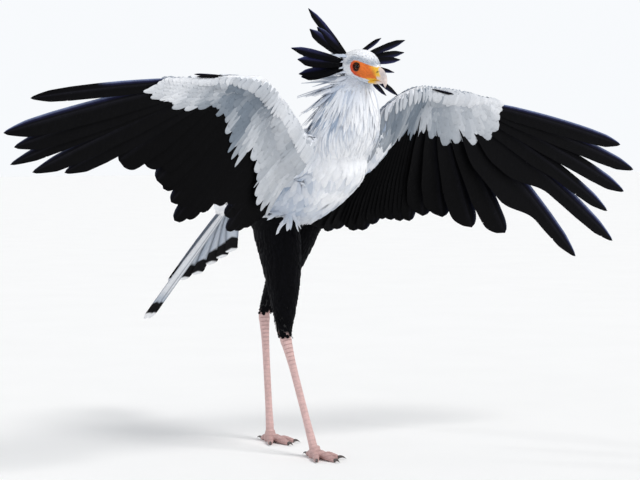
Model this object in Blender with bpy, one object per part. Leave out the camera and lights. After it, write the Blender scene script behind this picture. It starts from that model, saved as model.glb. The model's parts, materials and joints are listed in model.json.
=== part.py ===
"""Secretary bird at life size, walking with both wings spread.

The bird faces -Y, its left side is +X, and the floor is z = 0. Lengths are in metres.
"""
import math
import random

import bmesh
import bpy
import numpy as np
from mathutils import Vector

# Axes of the bird's own frame
ACROSS = Vector((1.0, 0.0, 0.0))
AHEAD = Vector((0.0, -1.0, 0.0))
UPWARD = Vector((0.0, 0.0, 1.0))

# Stance: soles on the floor, ankles, hips, shoulders and eyes
FLOOR = 0.0
HIP_HEIGHT = 0.61
SHOULDER_HALF_SPAN = 0.09
SHOULDER_Y = -0.225
SHOULDER_HEIGHT = 0.787
EYE_MID = Vector((0.0, -0.325, 0.974))
EYE_SIDE = 0.0235
EYE_RADIUS = 0.0108
HEAD_TURN = math.radians(8.0)
HEAD_PITCH = math.radians(5.0)
FOOT_PLACE = {"right": Vector((-0.035, -0.165, 0.0)), "left": Vector((0.016, 0.108, 0.0))}
ANKLE_PLACE = {"right": Vector((-0.047, -0.052, 0.292)), "left": Vector((0.034, 0.160, 0.333))}
HIP_PLACE = {"right": Vector((-0.062, -0.020, HIP_HEIGHT)), "left": Vector((0.062, 0.030, HIP_HEIGHT))}
COAT_SEED = 7

# Space kept between touching nodes, and the thinnest vane
GAP = 0.0003
VANE_THICKNESS = 0.0009
SHARP_ANGLE = math.radians(35.0)

# Tail: twelve graduated feathers, the central pair long
TAIL_ROOT = Vector((0.0, 0.262, 0.648))
TAIL_DROOP = math.radians(37.0)
TAIL_CENTRAL_LENGTH = 0.560
TAIL_OUTER_LENGTHS = (0.365, 0.345, 0.318, 0.285, 0.250)
TAIL_FAN_STEP = math.radians(3.0)

# Wing: the lengths of the primaries from the outermost inwards, and the fan of each side
PRIMARY_LENGTHS = (0.485, 0.580, 0.590, 0.600, 0.595, 0.545, 0.445, 0.395, 0.365, 0.355)
SECONDARY_COUNT = 8
TERTIAL_COUNT = 3

PLUMAGE_WHITE = (0.80, 0.82, 0.84)
PLUMAGE_GREY = (0.62, 0.65, 0.69)
PLUMAGE_BLACK = (0.015, 0.015, 0.020)
FACE_ORANGE = (0.90, 0.30, 0.05)
LEG_PINK = (0.72, 0.50, 0.46)
HORN_GREY = (0.50, 0.48, 0.46)
CLAW_DARK = (0.10, 0.09, 0.09)
EYE_DARK = (0.10, 0.05, 0.02)


class Pose:
    """A local frame: an origin with forward, side and up directions."""

    def __init__(self, origin, forward, up):
        self.origin = Vector(origin)
        self.forward = Vector(forward).normalized()
        self.side = self.forward.cross(Vector(up)).normalized()
        self.up = self.side.cross(self.forward).normalized()

    def at(self, forward, side, up):
        return self.origin + self.forward * forward + self.side * side + self.up * up


def clear_scene():
    for item in list(bpy.data.objects):
        bpy.data.objects.remove(item, do_unlink=True)


def make_material(name, color, roughness):
    material = bpy.data.materials.new(name)
    material.use_nodes = True
    shader = material.node_tree.nodes["Principled BSDF"]
    shader.inputs["Base Color"].default_value = (*color, 1.0)
    shader.inputs["Roughness"].default_value = roughness
    shader.inputs["Metallic"].default_value = 0.0
    return material


def make_object(name, points, faces):
    mesh = bpy.data.meshes.new(name)
    mesh.from_pydata([tuple(point) for point in points], [], faces)
    sculpt = bmesh.new()
    sculpt.from_mesh(mesh)
    bmesh.ops.recalc_face_normals(sculpt, faces=sculpt.faces)
    if sculpt.calc_volume(signed=True) < 0.0:
        bmesh.ops.reverse_faces(sculpt, faces=sculpt.faces)
    sculpt.to_mesh(mesh)
    sculpt.free()
    item = bpy.data.objects.new(name, mesh)
    bpy.context.scene.collection.objects.link(item)
    return item


def spline_rows(rows, count):
    """Rows of numbers read along a smooth curve through the given rows."""
    table = np.array(rows, dtype=float)
    padded = np.vstack([2 * table[0] - table[1], table, 2 * table[-1] - table[-2]])
    result = []
    for place in np.linspace(0.0, len(table) - 1.0, count):
        start = min(int(place), len(table) - 2)
        part = place - start
        before, here, after, beyond = padded[start:start + 4]
        tangent_here = 0.5 * (after - before)
        tangent_after = 0.5 * (beyond - here)
        cube, square = part ** 3, part ** 2
        row = (2 * cube - 3 * square + 1) * here + (cube - 2 * square + part) * tangent_here
        row += (3 * square - 2 * cube) * after + (cube - square) * tangent_after
        result.append(row)
    return result


def section(centre, across, up, half_width, half_height, sides, squareness=2.0):
    """The points of one rounded section."""
    points = []
    for step in range(sides):
        angle = 2.0 * math.pi * (step + 0.5) / sides
        wide, tall = math.cos(angle), math.sin(angle)
        wide = math.copysign(abs(wide) ** (2.0 / squareness), wide)
        tall = math.copysign(abs(tall) ** (2.0 / squareness), tall)
        points.append(centre + across * (wide * half_width) + up * (tall * half_height))
    return points


def loft(name, rings, start_tip, end_tip):
    """A closed skin of triangles over the rings, with a point at each end."""
    sides = len(rings[0])
    points = [point for ring in rings for point in ring]
    faces = []
    for low in range(len(rings) - 1):
        for side in range(sides):
            here = low * sides + side
            turn = low * sides + (side + 1) % sides
            faces.append((here, turn, turn + sides))
            faces.append((here, turn + sides, here + sides))
    start = len(points)
    points += [start_tip, end_tip]
    last = (len(rings) - 1) * sides
    for side in range(sides):
        faces.append((start, (side + 1) % sides, side))
        faces.append((start + 1, last + side, last + (side + 1) % sides))
    return make_object(name, points, faces)


def mean_point(ring):
    return sum(ring, Vector()) / len(ring)


def tube(name, centres, half_widths, half_heights, sides, up):
    """A loft of sections square to the path through the centres."""
    rings = []
    for index, (centre, half_width, half_height) in enumerate(zip(centres, half_widths, half_heights)):
        before = centres[max(index - 1, 0)]
        after = centres[min(index + 1, len(centres) - 1)]
        pose = Pose(centre, after - before, up)
        rings.append(section(centre, pose.side, pose.up, half_width, half_height, sides))
    return loft(name, rings, mean_point(rings[0]), mean_point(rings[-1]))


def evaluate(item):
    """Turns an object's modifiers into its mesh."""
    bpy.context.view_layer.update()
    graph = bpy.context.evaluated_depsgraph_get()
    mesh = bpy.data.meshes.new_from_object(item.evaluated_get(graph))
    item.modifiers.clear()
    item.data = mesh


def keep_largest(item):
    """Keeps the largest closed surface of an object, and nothing loose."""
    sculpt = bmesh.new()
    sculpt.from_mesh(item.data)
    bmesh.ops.triangulate(sculpt, faces=sculpt.faces)
    left = set(sculpt.faces)
    shells = []
    while left:
        front = [left.pop()]
        shell = []
        while front:
            face = front.pop()
            shell.append(face)
            for edge in face.edges:
                for other in edge.link_faces:
                    if other in left:
                        left.remove(other)
                        front.append(other)
        shells.append(shell)
    shells.sort(key=lambda shell: sum(face.calc_area() for face in shell))
    loose = [face for shell in shells[:-1] for face in shell]
    bmesh.ops.delete(sculpt, geom=loose, context="FACES")
    sculpt.to_mesh(item.data)
    sculpt.free()


def fuse(base, pieces):
    """Joins pieces to their base in one union, and removes them."""
    group = bpy.data.collections.new(base.name + "_pieces")
    bpy.context.scene.collection.children.link(group)
    for piece in pieces:
        bpy.context.scene.collection.objects.unlink(piece)
        group.objects.link(piece)
    joint = base.modifiers.new("Union", "BOOLEAN")
    joint.operation = "UNION"
    joint.operand_type = "COLLECTION"
    joint.collection = group
    evaluate(base)
    for piece in pieces:
        bpy.data.objects.remove(piece, do_unlink=True)
    bpy.data.collections.remove(group)
    keep_largest(base)


def swollen_copy(item, distance=GAP):
    """A copy of an object grown outwards by a small distance, to cut its neighbour with."""
    sculpt = bmesh.new()
    sculpt.from_mesh(item.data)
    sculpt.normal_update()
    shifts = [vertex.normal * distance for vertex in sculpt.verts]
    for vertex, shift in zip(sculpt.verts, shifts):
        vertex.co += shift
    mesh = bpy.data.meshes.new(item.name + "_cutter")
    sculpt.to_mesh(mesh)
    sculpt.free()
    cutter = bpy.data.objects.new(item.name + "_cutter", mesh)
    bpy.context.scene.collection.objects.link(cutter)
    return cutter


def carve(item, cutter):
    """Cuts one shape out of another, and removes the cutter."""
    cut = item.modifiers.new("Cut", "BOOLEAN")
    cut.operation = "DIFFERENCE"
    cut.object = cutter
    evaluate(item)
    bpy.data.objects.remove(cutter, do_unlink=True)
    keep_largest(item)


def cut_clear(item, neighbour):
    carve(item, swollen_copy(neighbour))


def finish(item, material):
    item.data.materials.clear()
    item.data.materials.append(material)
    item.data.shade_smooth()
    item.data.set_sharp_from_angle(angle=SHARP_ANGLE)
    return item


def flat_vane(name, places):
    """A thin closed plate over (leading, trailing, normal, thickness) rows, split alike on both faces."""
    points = []
    for leading, trailing, normal, thickness in places:
        half = normal * (0.5 * thickness)
        points += [leading + half, trailing + half, trailing - half, leading - half]
    faces = [(0, 1, 2), (0, 2, 3)]
    for row in range(len(places) - 1):
        near, far = 4 * row, 4 * row + 4
        faces += [(near, near + 1, far + 1), (near, far + 1, far)]
        faces += [(near + 3, far + 2, near + 2), (near + 3, far + 3, far + 2)]
        faces += [(near + 1, near + 2, far + 2), (near + 1, far + 2, far + 1)]
        faces += [(near, far + 3, near + 3), (near, far, far + 3)]
    last = 4 * len(places) - 4
    faces += [(last, last + 2, last + 1), (last, last + 3, last + 2)]
    return make_object(name, points, faces)


def plume(name, root, direction, face, length, half_width, outline, bend=0.0, thickness=VANE_THICKNESS):
    """A feather along a bent line, its half width from the outline's (place, share) pairs."""
    direction = Vector(direction).normalized()
    across = direction.cross(Vector(face)).normalized()
    normal = across.cross(direction).normalized()
    rows = []
    for place, share in outline:
        centre = Vector(root) + direction * (length * place) + normal * (bend * length * place * place)
        width = half_width * share
        rows.append((centre + across * width, centre - across * width, normal, thickness))
    return flat_vane(name, rows)


# Torso: stations of length, height of the middle, half width and half height

TORSO_ROWS = (
    (-0.275, 0.742, 0.034, 0.036),
    (-0.250, 0.742, 0.066, 0.066),
    (-0.200, 0.737, 0.091, 0.092),
    (-0.130, 0.720, 0.106, 0.112),
    (-0.050, 0.700, 0.110, 0.124),
    (0.030, 0.686, 0.106, 0.125),
    (0.110, 0.674, 0.091, 0.106),
    (0.180, 0.664, 0.071, 0.078),
    (0.240, 0.653, 0.050, 0.050),
    (0.275, 0.645, 0.033, 0.030),
)
TORSO_SIDES = 22
TORSO_RINGS = 15
TORSO_SQUARENESS = 2.15
TORSO_CAP = 0.011


def make_torso():
    rings = []
    for y, height, half_width, half_height in spline_rows(TORSO_ROWS, TORSO_RINGS):
        centre = Vector((0.0, y, height))
        rings.append(section(centre, ACROSS, UPWARD, half_width, half_height, TORSO_SIDES, TORSO_SQUARENESS))
    front = mean_point(rings[0]) + AHEAD * TORSO_CAP
    rear = mean_point(rings[-1]) - AHEAD * TORSO_CAP
    return loft("torso", rings, front, rear)


# Neck with its ruff: stations of height, length, half width and half depth

NECK_ROWS = (
    (0.715, -0.155, 0.070, 0.060),
    (0.755, -0.200, 0.084, 0.084),
    (0.800, -0.234, 0.085, 0.096),
    (0.845, -0.252, 0.076, 0.094),
    (0.890, -0.264, 0.067, 0.082),
    (0.925, -0.276, 0.054, 0.062),
    (0.952, -0.290, 0.038, 0.040),
    (0.970, -0.298, 0.020, 0.022),
)
NECK_SIDES = 18
NECK_RINGS = 12
NECK_CAP = 0.004
RUFF_OUTLINE = ((0.0, 0.60), (0.45, 1.0), (1.0, 0.08))
RUFF_HALF_WIDTH = 0.0105
RUFF_THICKNESS = 0.0016
RUFF_SINK = 0.010
RUFF_BEND = -0.10
# Tiers of the ruff: height, length of a lock, number of locks, and how far round from the nape they reach
RUFF_TIERS = ((0.925, 0.062, 6, 115.0), (0.893, 0.066, 7, 108.0), (0.860, 0.058, 5, 70.0))


def neck_at(height):
    rows = np.array(NECK_ROWS)
    return [float(np.interp(height, rows[:, 0], rows[:, column])) for column in (1, 2, 3)]


def make_neck(torso, head):
    rings = []
    for height, y, half_width, half_depth in spline_rows(NECK_ROWS, NECK_RINGS):
        centre = Vector((0.0, y, height))
        rings.append(section(centre, ACROSS, AHEAD, half_width, half_depth, NECK_SIDES))
    bottom = mean_point(rings[0]) - UPWARD * NECK_CAP
    top = mean_point(rings[-1]) + UPWARD * NECK_CAP
    neck = loft("neck", rings, bottom, top)
    fuse(neck, ruff_locks())
    cut_clear(neck, torso)
    cut_clear(neck, head)
    return neck


def ruff_locks():
    """White pointed feathers that stand off the nape and the sides of the neck, in three tiers."""
    draw = random.Random(COAT_SEED)
    locks = []
    for height, length, count, reach_round in RUFF_TIERS:
        y, half_width, half_depth = neck_at(height)
        for index in range(count):
            turn = math.radians(reach_round * (2.0 * index / (count - 1.0) - 1.0))
            outward = Vector((math.sin(turn) * half_depth, math.cos(turn) * half_width, 0)).normalized()
            surface = Vector((math.sin(turn) * half_width, y + math.cos(turn) * half_depth, height))
            direction = outward * 0.80 - UPWARD * draw.uniform(1.05, 1.30)
            root = surface - outward * RUFF_SINK + UPWARD * 0.006
            face = outward + UPWARD * 0.7
            reach = length * draw.uniform(0.90, 1.15)
            locks.append(plume("ruff", root, direction, face, reach, RUFF_HALF_WIDTH, RUFF_OUTLINE, RUFF_BEND,
                               RUFF_THICKNESS))
    return locks


# Head and eyes: stations of length from the eyes, half width, and the reach of the top and the bottom

HEAD_ROWS = (
    (-0.066, 0.010, 0.016, 0.018),
    (-0.058, 0.024, 0.030, 0.024),
    (-0.038, 0.034, 0.039, 0.032),
    (-0.012, 0.037, 0.042, 0.036),
    (0.012, 0.0325, 0.037, 0.038),
    (0.028, 0.0240, 0.027, 0.036),
    (0.040, 0.0165, 0.015, 0.034),
    (0.047, 0.0125, 0.006, 0.033),
)
HEAD_SIDES = 20
HEAD_RINGS = 13
BALL_ROWS = 8
BALL_SIDES = 14
LID_THICKNESS = 0.0016
# The opening between the lids, at three depths: reach outwards, half length and half height
LID_STEPS = ((0.0, 0.0060, 0.0045), (0.006, 0.0088, 0.0066), (0.016, 0.0125, 0.0100))
LID_SIDES = 14
# The brow, from back to front: length, reach outwards, rise, half width and half height
BROW_ROWS = (
    (-0.016, 0.0300, 0.0150, 0.0026, 0.0016),
    (-0.006, 0.0310, 0.0142, 0.0044, 0.0026),
    (0.006, 0.0292, 0.0118, 0.0042, 0.0025),
    (0.017, 0.0245, 0.0075, 0.0022, 0.0015),
)

CREST_OUTLINE = ((0.0, 0.22), (0.35, 0.35), (0.68, 0.92), (0.90, 0.85), (1.0, 0.15))
CREST_HALF_WIDTH = 0.0125
CREST_THICKNESS = 0.0011
CREST_BEND = -0.05
# Each side's crest feathers: elevation, lean towards the back, and length
CREST_FEATHERS = {
    "right": (
        (79, 36, 0.166), (62, 30, 0.150), (46, 22, 0.128), (30, 16, 0.150),
        (19, 12, 0.172), (8, 20, 0.150), (-6, 14, 0.140), (-20, 26, 0.120),
    ),
    "left": (
        (76, 58, 0.120), (52, 50, 0.120), (27, 10, 0.152), (20, 4, 0.186),
        (9, 4, 0.182), (-8, 6, 0.148), (-26, 4, 0.150), (-38, 12, 0.132),
    ),
}


def head_pose():
    forward = Vector((math.sin(HEAD_TURN), -math.cos(HEAD_TURN), 0.0)) * math.cos(HEAD_PITCH)
    forward.z = -math.sin(HEAD_PITCH)
    return Pose(EYE_MID, forward, UPWARD)


def make_skull():
    pose = head_pose()
    rings = []
    for place, half_width, top, bottom in spline_rows(HEAD_ROWS, HEAD_RINGS):
        centre = pose.at(place, 0.0, 0.5 * (top - bottom))
        rings.append(section(centre, pose.side, pose.up, half_width, 0.5 * (top + bottom), HEAD_SIDES))
    rear = pose.at(HEAD_ROWS[0][0] - 0.004, 0.0, 0.0)
    front = pose.at(HEAD_ROWS[-1][0] + 0.003, 0.0, -0.014)
    return loft("head", rings, rear, front)


def ball(name, centre, radius):
    rings = []
    for row in range(1, BALL_ROWS):
        angle = math.pi * row / BALL_ROWS
        middle = centre - UPWARD * (math.cos(angle) * radius)
        spread = math.sin(angle) * radius
        rings.append(section(middle, ACROSS, -AHEAD, spread, spread, BALL_SIDES))
    return loft(name, rings, centre - UPWARD * radius, centre + UPWARD * radius)


def eye_centre(sign):
    return head_pose().at(0.0, sign * EYE_SIDE, 0.0)


def make_eye(side, sign):
    return ball("eye_" + side, eye_centre(sign), EYE_RADIUS)


def lid_opening(sign):
    """The almond between the lids, as a cutter that opens them outwards."""
    pose = head_pose()
    rings = []
    for reach, half_long, half_tall in LID_STEPS:
        centre = pose.at(0.0015, sign * (EYE_SIDE + reach), 0.0002)
        rings.append(section(centre, pose.forward, pose.up, half_long, half_tall, LID_SIDES))
    return loft("lid_opening", rings, mean_point(rings[0]), mean_point(rings[-1]))


def brow(sign):
    """The bony ridge over the eye."""
    pose = head_pose()
    centres = [pose.at(place, sign * reach, rise) for place, reach, rise, _, _ in BROW_ROWS]
    half_widths = [row[3] for row in BROW_ROWS]
    half_heights = [row[4] for row in BROW_ROWS]
    return tube("brow", centres, half_widths, half_heights, 6, pose.up)


def crest_plumes():
    pose = head_pose()
    plumes = []
    for side, sign in (("right", 1.0), ("left", -1.0)):
        feathers = CREST_FEATHERS[side]
        for index, (elevation, lean, length) in enumerate(feathers):
            rise, back = math.radians(elevation), math.radians(lean)
            lift = index / (len(feathers) - 1.0)
            direction = pose.side * (sign * math.cos(rise) * math.cos(back))
            direction += pose.up * (math.sin(rise) * math.cos(back)) - pose.forward * math.sin(back)
            reach = sign * (0.008 + 0.014 * lift)
            root = pose.at(-0.050 + 0.006 * (index % 2), reach, 0.020 - 0.026 * lift)
            face = pose.forward + pose.up * 0.25 + pose.side * (0.2 * sign)
            half_width = CREST_HALF_WIDTH + 0.0015 * (index % 3)
            plumes.append(plume("crest", root, direction, face, length, half_width, CREST_OUTLINE, CREST_BEND,
                                CREST_THICKNESS))
    return plumes


def make_head(eyes):
    """The skull with brows, lids and crest, opened for the eyes."""
    head = make_skull()
    pieces = [brow(1.0), brow(-1.0)]
    pieces += [ball("lids", eye_centre(sign), EYE_RADIUS + LID_THICKNESS) for sign in (1.0, -1.0)]
    fuse(head, pieces + crest_plumes())
    for sign in (1.0, -1.0):
        carve(head, lid_opening(sign))
    for eye in eyes:
        cut_clear(head, eye)
    return head


# Bill stations: length, height of the middle, half width, half height, and the lean of the section
UPPER_BILL_ROWS = (
    (0.026, -0.0130, 0.0120, 0.0165, 0.0),
    (0.040, -0.0125, 0.0108, 0.0165, 4.0),
    (0.052, -0.0155, 0.0090, 0.0155, 14.0),
    (0.062, -0.0215, 0.0070, 0.0125, 32.0),
    (0.0685, -0.0300, 0.0050, 0.0080, 58.0),
    (0.0715, -0.0385, 0.0030, 0.0045, 78.0),
)
UPPER_BILL_RINGS = 9
UPPER_BILL_SIDES = 12
BILL_SQUARENESS = 2.2
BILL_TIP = (0.0715, 0.0, -0.0470)
# The nostril slits: length and height of the middle, half width and half height
NOSTRIL_REACH = 0.0115
NOSTRIL_ROWS = (
    (0.0475, -0.0097, 0.0010, 0.0030),
    (0.0505, -0.0101, 0.0016, 0.0040),
    (0.0535, -0.0104, 0.0008, 0.0030),
)
NOSTRIL_SIDES = 8
LOWER_BILL_ROWS = (
    (0.022, -0.0345, 0.0100, 0.0050),
    (0.038, -0.0345, 0.0088, 0.0048),
    (0.050, -0.0345, 0.0066, 0.0042),
    (0.059, -0.0345, 0.0040, 0.0032),
)
LOWER_BILL_RINGS = 5
LOWER_BILL_SIDES = 10
LOWER_BILL_TIP = (0.0625, 0.0, -0.0335)


def make_upper_bill(head):
    pose = head_pose()
    rings = []
    for place, height, half_width, half_height, lean in spline_rows(UPPER_BILL_ROWS, UPPER_BILL_RINGS):
        lean = math.radians(lean)
        up = pose.up * math.cos(lean) + pose.forward * math.sin(lean)
        centre = pose.at(place, 0.0, height)
        sides = UPPER_BILL_SIDES
        rings.append(section(centre, pose.side, up, half_width, half_height, sides, BILL_SQUARENESS))
    bill = loft("bill_upper", rings, mean_point(rings[0]), pose.at(*BILL_TIP))
    for sign in (1.0, -1.0):
        carve(bill, nostril(pose, sign))
    cut_clear(bill, head)
    return bill


def nostril(pose, sign):
    """The slit in the side of the bill, as a cutter."""
    centres = [pose.at(place, sign * NOSTRIL_REACH, height) for place, height, _, _ in NOSTRIL_ROWS]
    half_widths = [row[2] for row in NOSTRIL_ROWS]
    half_heights = [row[3] for row in NOSTRIL_ROWS]
    return tube("nostril", centres, half_widths, half_heights, NOSTRIL_SIDES, pose.side)


def make_lower_bill(head, upper):
    pose = head_pose()
    rings = []
    for place, height, half_width, half_height in spline_rows(LOWER_BILL_ROWS, LOWER_BILL_RINGS):
        centre = pose.at(place, 0.0, height)
        rings.append(section(centre, pose.side, pose.up, half_width, half_height, LOWER_BILL_SIDES))
    bill = loft("bill_lower", rings, mean_point(rings[0]), pose.at(*LOWER_BILL_TIP))
    cut_clear(bill, upper)
    cut_clear(bill, head)
    return bill


# Wings

# The wing's plane leans back at the shoulder and stands steeper past the twist
TWIST_SPAN = 0.35
ROOT_TILT = math.radians(30.0)
TIP_TILT = math.radians(12.0)


def heading_vector(angle):
    """A direction on the wing: along the span at 0, and down the chord at a right angle."""
    return Vector((math.cos(angle), math.sin(angle)))


class Wing:
    """One wing's surface: span runs out from the shoulder, chord runs down, lift stands off its back."""

    def __init__(self, side):
        self.side = side
        self.sign = 1.0 if side == "left" else -1.0
        self.sweep = math.radians(6.0 if side == "left" else 8.0)
        self.wrist = Vector((0.122, -0.148)) if side == "left" else Vector((0.200, -0.156))
        self.hand_reach = 0.185 if side == "left" else 0.200
        self.hand_angle = math.radians(11.0 if side == "left" else 2.5)
        self.size = 1.045 if side == "left" else 0.965

    def tilt(self, span):
        share = min(max(span / TWIST_SPAN, 0.0), 1.0)
        share = share * share * (3.0 - 2.0 * share)
        return ROOT_TILT + (TIP_TILT - ROOT_TILT) * share

    def place(self, span, chord, lift):
        tilt = self.tilt(span)
        along = Vector((self.sign * math.cos(self.sweep), -math.sin(self.sweep), 0.0))
        down = Vector((0.0, math.sin(tilt), -math.cos(tilt)))
        back = Vector((0.0, math.cos(tilt), math.sin(tilt)))
        shoulder = Vector((self.sign * SHOULDER_HALF_SPAN, SHOULDER_Y, SHOULDER_HEIGHT))
        belly = 0.10 * max(span - TWIST_SPAN, 0.0) ** 2 - 0.25 * max(chord - 0.10, 0.0) ** 2
        return shoulder + along * span + down * chord + back * (lift + belly)

    def hand(self, share):
        """A place along the hand, from the wrist at 0 to its end at 1."""
        return self.wrist + heading_vector(self.hand_angle) * (self.hand_reach * share)

    def vane(self, name, root, angle, length, lead, trail, outline, lift_root, lift_tip, curl=0.0):
        """A feather on the wing, its angle counted from the span towards the chord."""
        rise = math.tan(BLIND)
        rows = []
        step_place = 0.0
        centre = Vector(root)
        for place, lead_share, trail_share in outline:
            heading = angle + curl * (step_place + place) * 0.5
            centre = centre + heading_vector(heading) * (length * (place - step_place))
            step_place = place
            heading = angle + curl * place
            across = Vector((math.sin(heading), -math.cos(heading)))
            lift = lift_root + (lift_tip - lift_root) * place
            front = centre + across * (lead * lead_share)
            back = centre - across * (trail * trail_share)
            leading = self.place(front.x, front.y, lift + lead * lead_share * rise)
            trailing = self.place(back.x, back.y, lift - trail * trail_share * rise)
            shaft = self.place(centre.x, centre.y, lift)
            ahead = centre + heading_vector(heading) * 0.01
            along = self.place(ahead.x, ahead.y, lift) - shaft
            normal = along.cross(leading - trailing).normalized()
            rows.append((leading, trailing, normal, VANE_THICKNESS))
        return flat_vane(name, rows)


# Outlines: place along the feather, then the shares of the leading and the trailing width
FINGER_OUTLINE = (
    (0.0, 0.35, 0.20), (0.16, 0.85, 0.75), (0.45, 1.0, 1.0), (0.72, 0.80, 0.62), (0.92, 0.62, 0.45),
    (1.0, 0.10, 0.08),
)
BROAD_OUTLINE = (
    (0.0, 0.30, 0.20), (0.22, 0.60, 0.55), (0.60, 1.0, 1.0), (0.90, 0.90, 0.78), (1.0, 0.25, 0.15),
)
COVERT_OUTLINE = ((0.0, 0.55, 0.50), (0.65, 1.0, 1.0), (1.0, 0.22, 0.18))

# Flesh of the wing from the shoulder to the wrist: (span, chord) of both edges, and thickness
ARM_LEAD = {"left": ((-0.060, -0.010), (-0.015, -0.068), (0.025, -0.132), (0.075, -0.162)),
            "right": ((-0.060, -0.010), (0.030, -0.036), (0.092, -0.088), (0.150, -0.138))}
ARM_TRAIL = {"left": ((-0.050, 0.120), (0.030, 0.078), (0.070, 0.000), (0.105, -0.070)),
             "right": ((-0.050, 0.120), (0.062, 0.085), (0.120, 0.012), (0.170, -0.060))}
ARM_THICKNESS = (0.050, 0.046, 0.040, 0.034)
# Flesh of the hand, from the wrist to its end
HAND_LEAD_OFFSET = 0.014
HAND_CHORDS = (0.066, 0.050, 0.036, 0.022)
HAND_THICKNESS = (0.029, 0.024, 0.019, 0.013)
FLESH_SIDES = 10
FLESH_RINGS = 11

# How far each vane turns about its own shaft, so that each overlaps the next like a blind
BLIND = math.radians(8.0)
# Angles of the primaries from the outermost inwards, then of the first and last of the inner feathers
SPREADS = {"left": (12.5, 18.5, 25.0, 31.0, 36.5, 45.5, 55.0, 63.5, 71.0, 76.5),
           "right": (6.0, 13.5, 17.0, 20.0, 23.0, 26.0, 30.5, 34.5, 38.0, 41.5)}
SECONDARY_SPREAD = {"left": (80.0, 88.0), "right": (44.0, 57.0)}
TERTIAL_SPREAD = {"left": (88.0, 87.0), "right": (59.0, 68.0)}
SECONDARY_LENGTHS = (0.358, 0.290)
TERTIAL_LENGTHS = (0.272, 0.232)
# The line that the inner feathers spring from, and how far the innermost tips drift to the back
ELBOW_END = {"left": Vector((0.018, 0.046)), "right": Vector((0.050, 0.048))}
WRIST_STEP = Vector((-0.006, 0.012))
TRAIL_BACK = 0.050
# The outer primaries end in narrow fingers, and the others are broad to their tips
FINGER_COUNT = 6
BROAD_HALF_WIDTHS = (0.024, 0.044)
INNER_HALF_WIDTHS = (0.019, 0.025)
PRIMARY_CURL = math.radians(7.0)
INNER_CURL = math.radians(4.0)


def wing_flesh(wing):
    stations = []
    for lead, trail, thickness in zip(ARM_LEAD[wing.side], ARM_TRAIL[wing.side], ARM_THICKNESS):
        stations.append((*lead, *trail, thickness))
    for index, (chord, thickness) in enumerate(zip(HAND_CHORDS, HAND_THICKNESS)):
        middle = wing.hand(index / (len(HAND_CHORDS) - 1.0))
        lead = middle.y - HAND_LEAD_OFFSET
        stations.append((middle.x, lead, middle.x, lead + chord, thickness))
    rings = []
    for lead_span, lead_chord, trail_span, trail_chord, thickness in spline_rows(stations, FLESH_RINGS):
        ring = []
        for step in range(FLESH_SIDES):
            angle = 2.0 * math.pi * (step + 0.5) / FLESH_SIDES
            share = 0.5 - 0.5 * math.cos(angle)
            lift = 0.5 * thickness * math.sin(angle) * (1.0 - 0.35 * share)
            span = lead_span + (trail_span - lead_span) * share
            chord = lead_chord + (trail_chord - lead_chord) * share
            ring.append(wing.place(span, chord, lift))
        rings.append(ring)
    return loft("wing_" + wing.side, rings, mean_point(rings[0]), mean_point(rings[-1]))


def arm_root(wing, share):
    """Where the secondaries spring, from the wrist at 0 to the elbow's inner end at 1."""
    return (wing.wrist + WRIST_STEP).lerp(ELBOW_END[wing.side], share)


def flight_feathers(wing):
    """(kind, root, angle, length) of each flight feather from the outermost inwards."""
    feathers = []
    spread = SPREADS[wing.side]
    for index, length in enumerate(PRIMARY_LENGTHS):
        root = wing.hand(0.97 - 0.93 * index / 9.0) + Vector((0.0, 0.004))
        feathers.append(("primary", root, math.radians(spread[index]), length * wing.size))
    inner = (("secondary", SECONDARY_COUNT, SECONDARY_SPREAD[wing.side], SECONDARY_LENGTHS, 0.00, 0.78),
             ("tertial", TERTIAL_COUNT, TERTIAL_SPREAD[wing.side], TERTIAL_LENGTHS, 0.86, 1.00))
    for kind, count, angles, lengths, first, last in inner:
        for index in range(count):
            share = index / (count - 1.0)
            angle = math.radians(angles[0] + (angles[1] - angles[0]) * share)
            length = (lengths[0] + (lengths[1] - lengths[0]) * share) * wing.size
            feathers.append((kind, arm_root(wing, first + (last - first) * share), angle, length))
    return feathers


def feather_half_width(kind, index):
    """The leading and the trailing half of the vane: the outer primaries are the narrowest."""
    if kind == "primary" and index < FINGER_COUNT:
        return 0.0135 + 0.0012 * index, 0.027 + 0.0014 * index
    return BROAD_HALF_WIDTHS if kind == "primary" else INNER_HALF_WIDTHS


def wing_feathers(wing):
    vanes = []
    feathers = flight_feathers(wing)
    for index, (kind, root, angle, length) in enumerate(feathers):
        lead, trail = feather_half_width(kind, index)
        outline = FINGER_OUTLINE if index < FINGER_COUNT else BROAD_OUTLINE
        curl = PRIMARY_CURL if kind == "primary" else INNER_CURL
        inward = max(index - len(PRIMARY_LENGTHS), 0) / (SECONDARY_COUNT + TERTIAL_COUNT - 1.0)
        drift = TRAIL_BACK * inward * inward
        start = angle - 0.4 * curl
        vanes.append(wing.vane("flight", root, start, length, lead, trail, outline, 0.0, drift, curl))
    return vanes + covert_vanes(wing, feathers)


# Tiers of coverts: share of the flight feather's length, lift off it, and how far the root sits up the wing
COVERT_TIERS = (("greater_dorsal", 0.34, 0.0062, 0.006), ("greater_ventral", 0.34, -0.0062, 0.006))
COVERT_ROOT_LIFT_SHARE = 0.8
COVERT_LONGEST_FEATHER = 0.40
COVERT_HALF_WIDTHS = {"primary": (0.012, 0.017), "secondary": (0.010, 0.013), "tertial": (0.010, 0.013)}

# Alula: places of the roots along the hand, from the first one, and the sizes of the longest
ALULA_COUNT = 3
ALULA_FIRST = 0.10
ALULA_STEP = 0.06
ALULA_LENGTH = 0.170
ALULA_SHORTER = 0.035
ALULA_HALF_WIDTHS = (0.008, 0.014)


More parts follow.
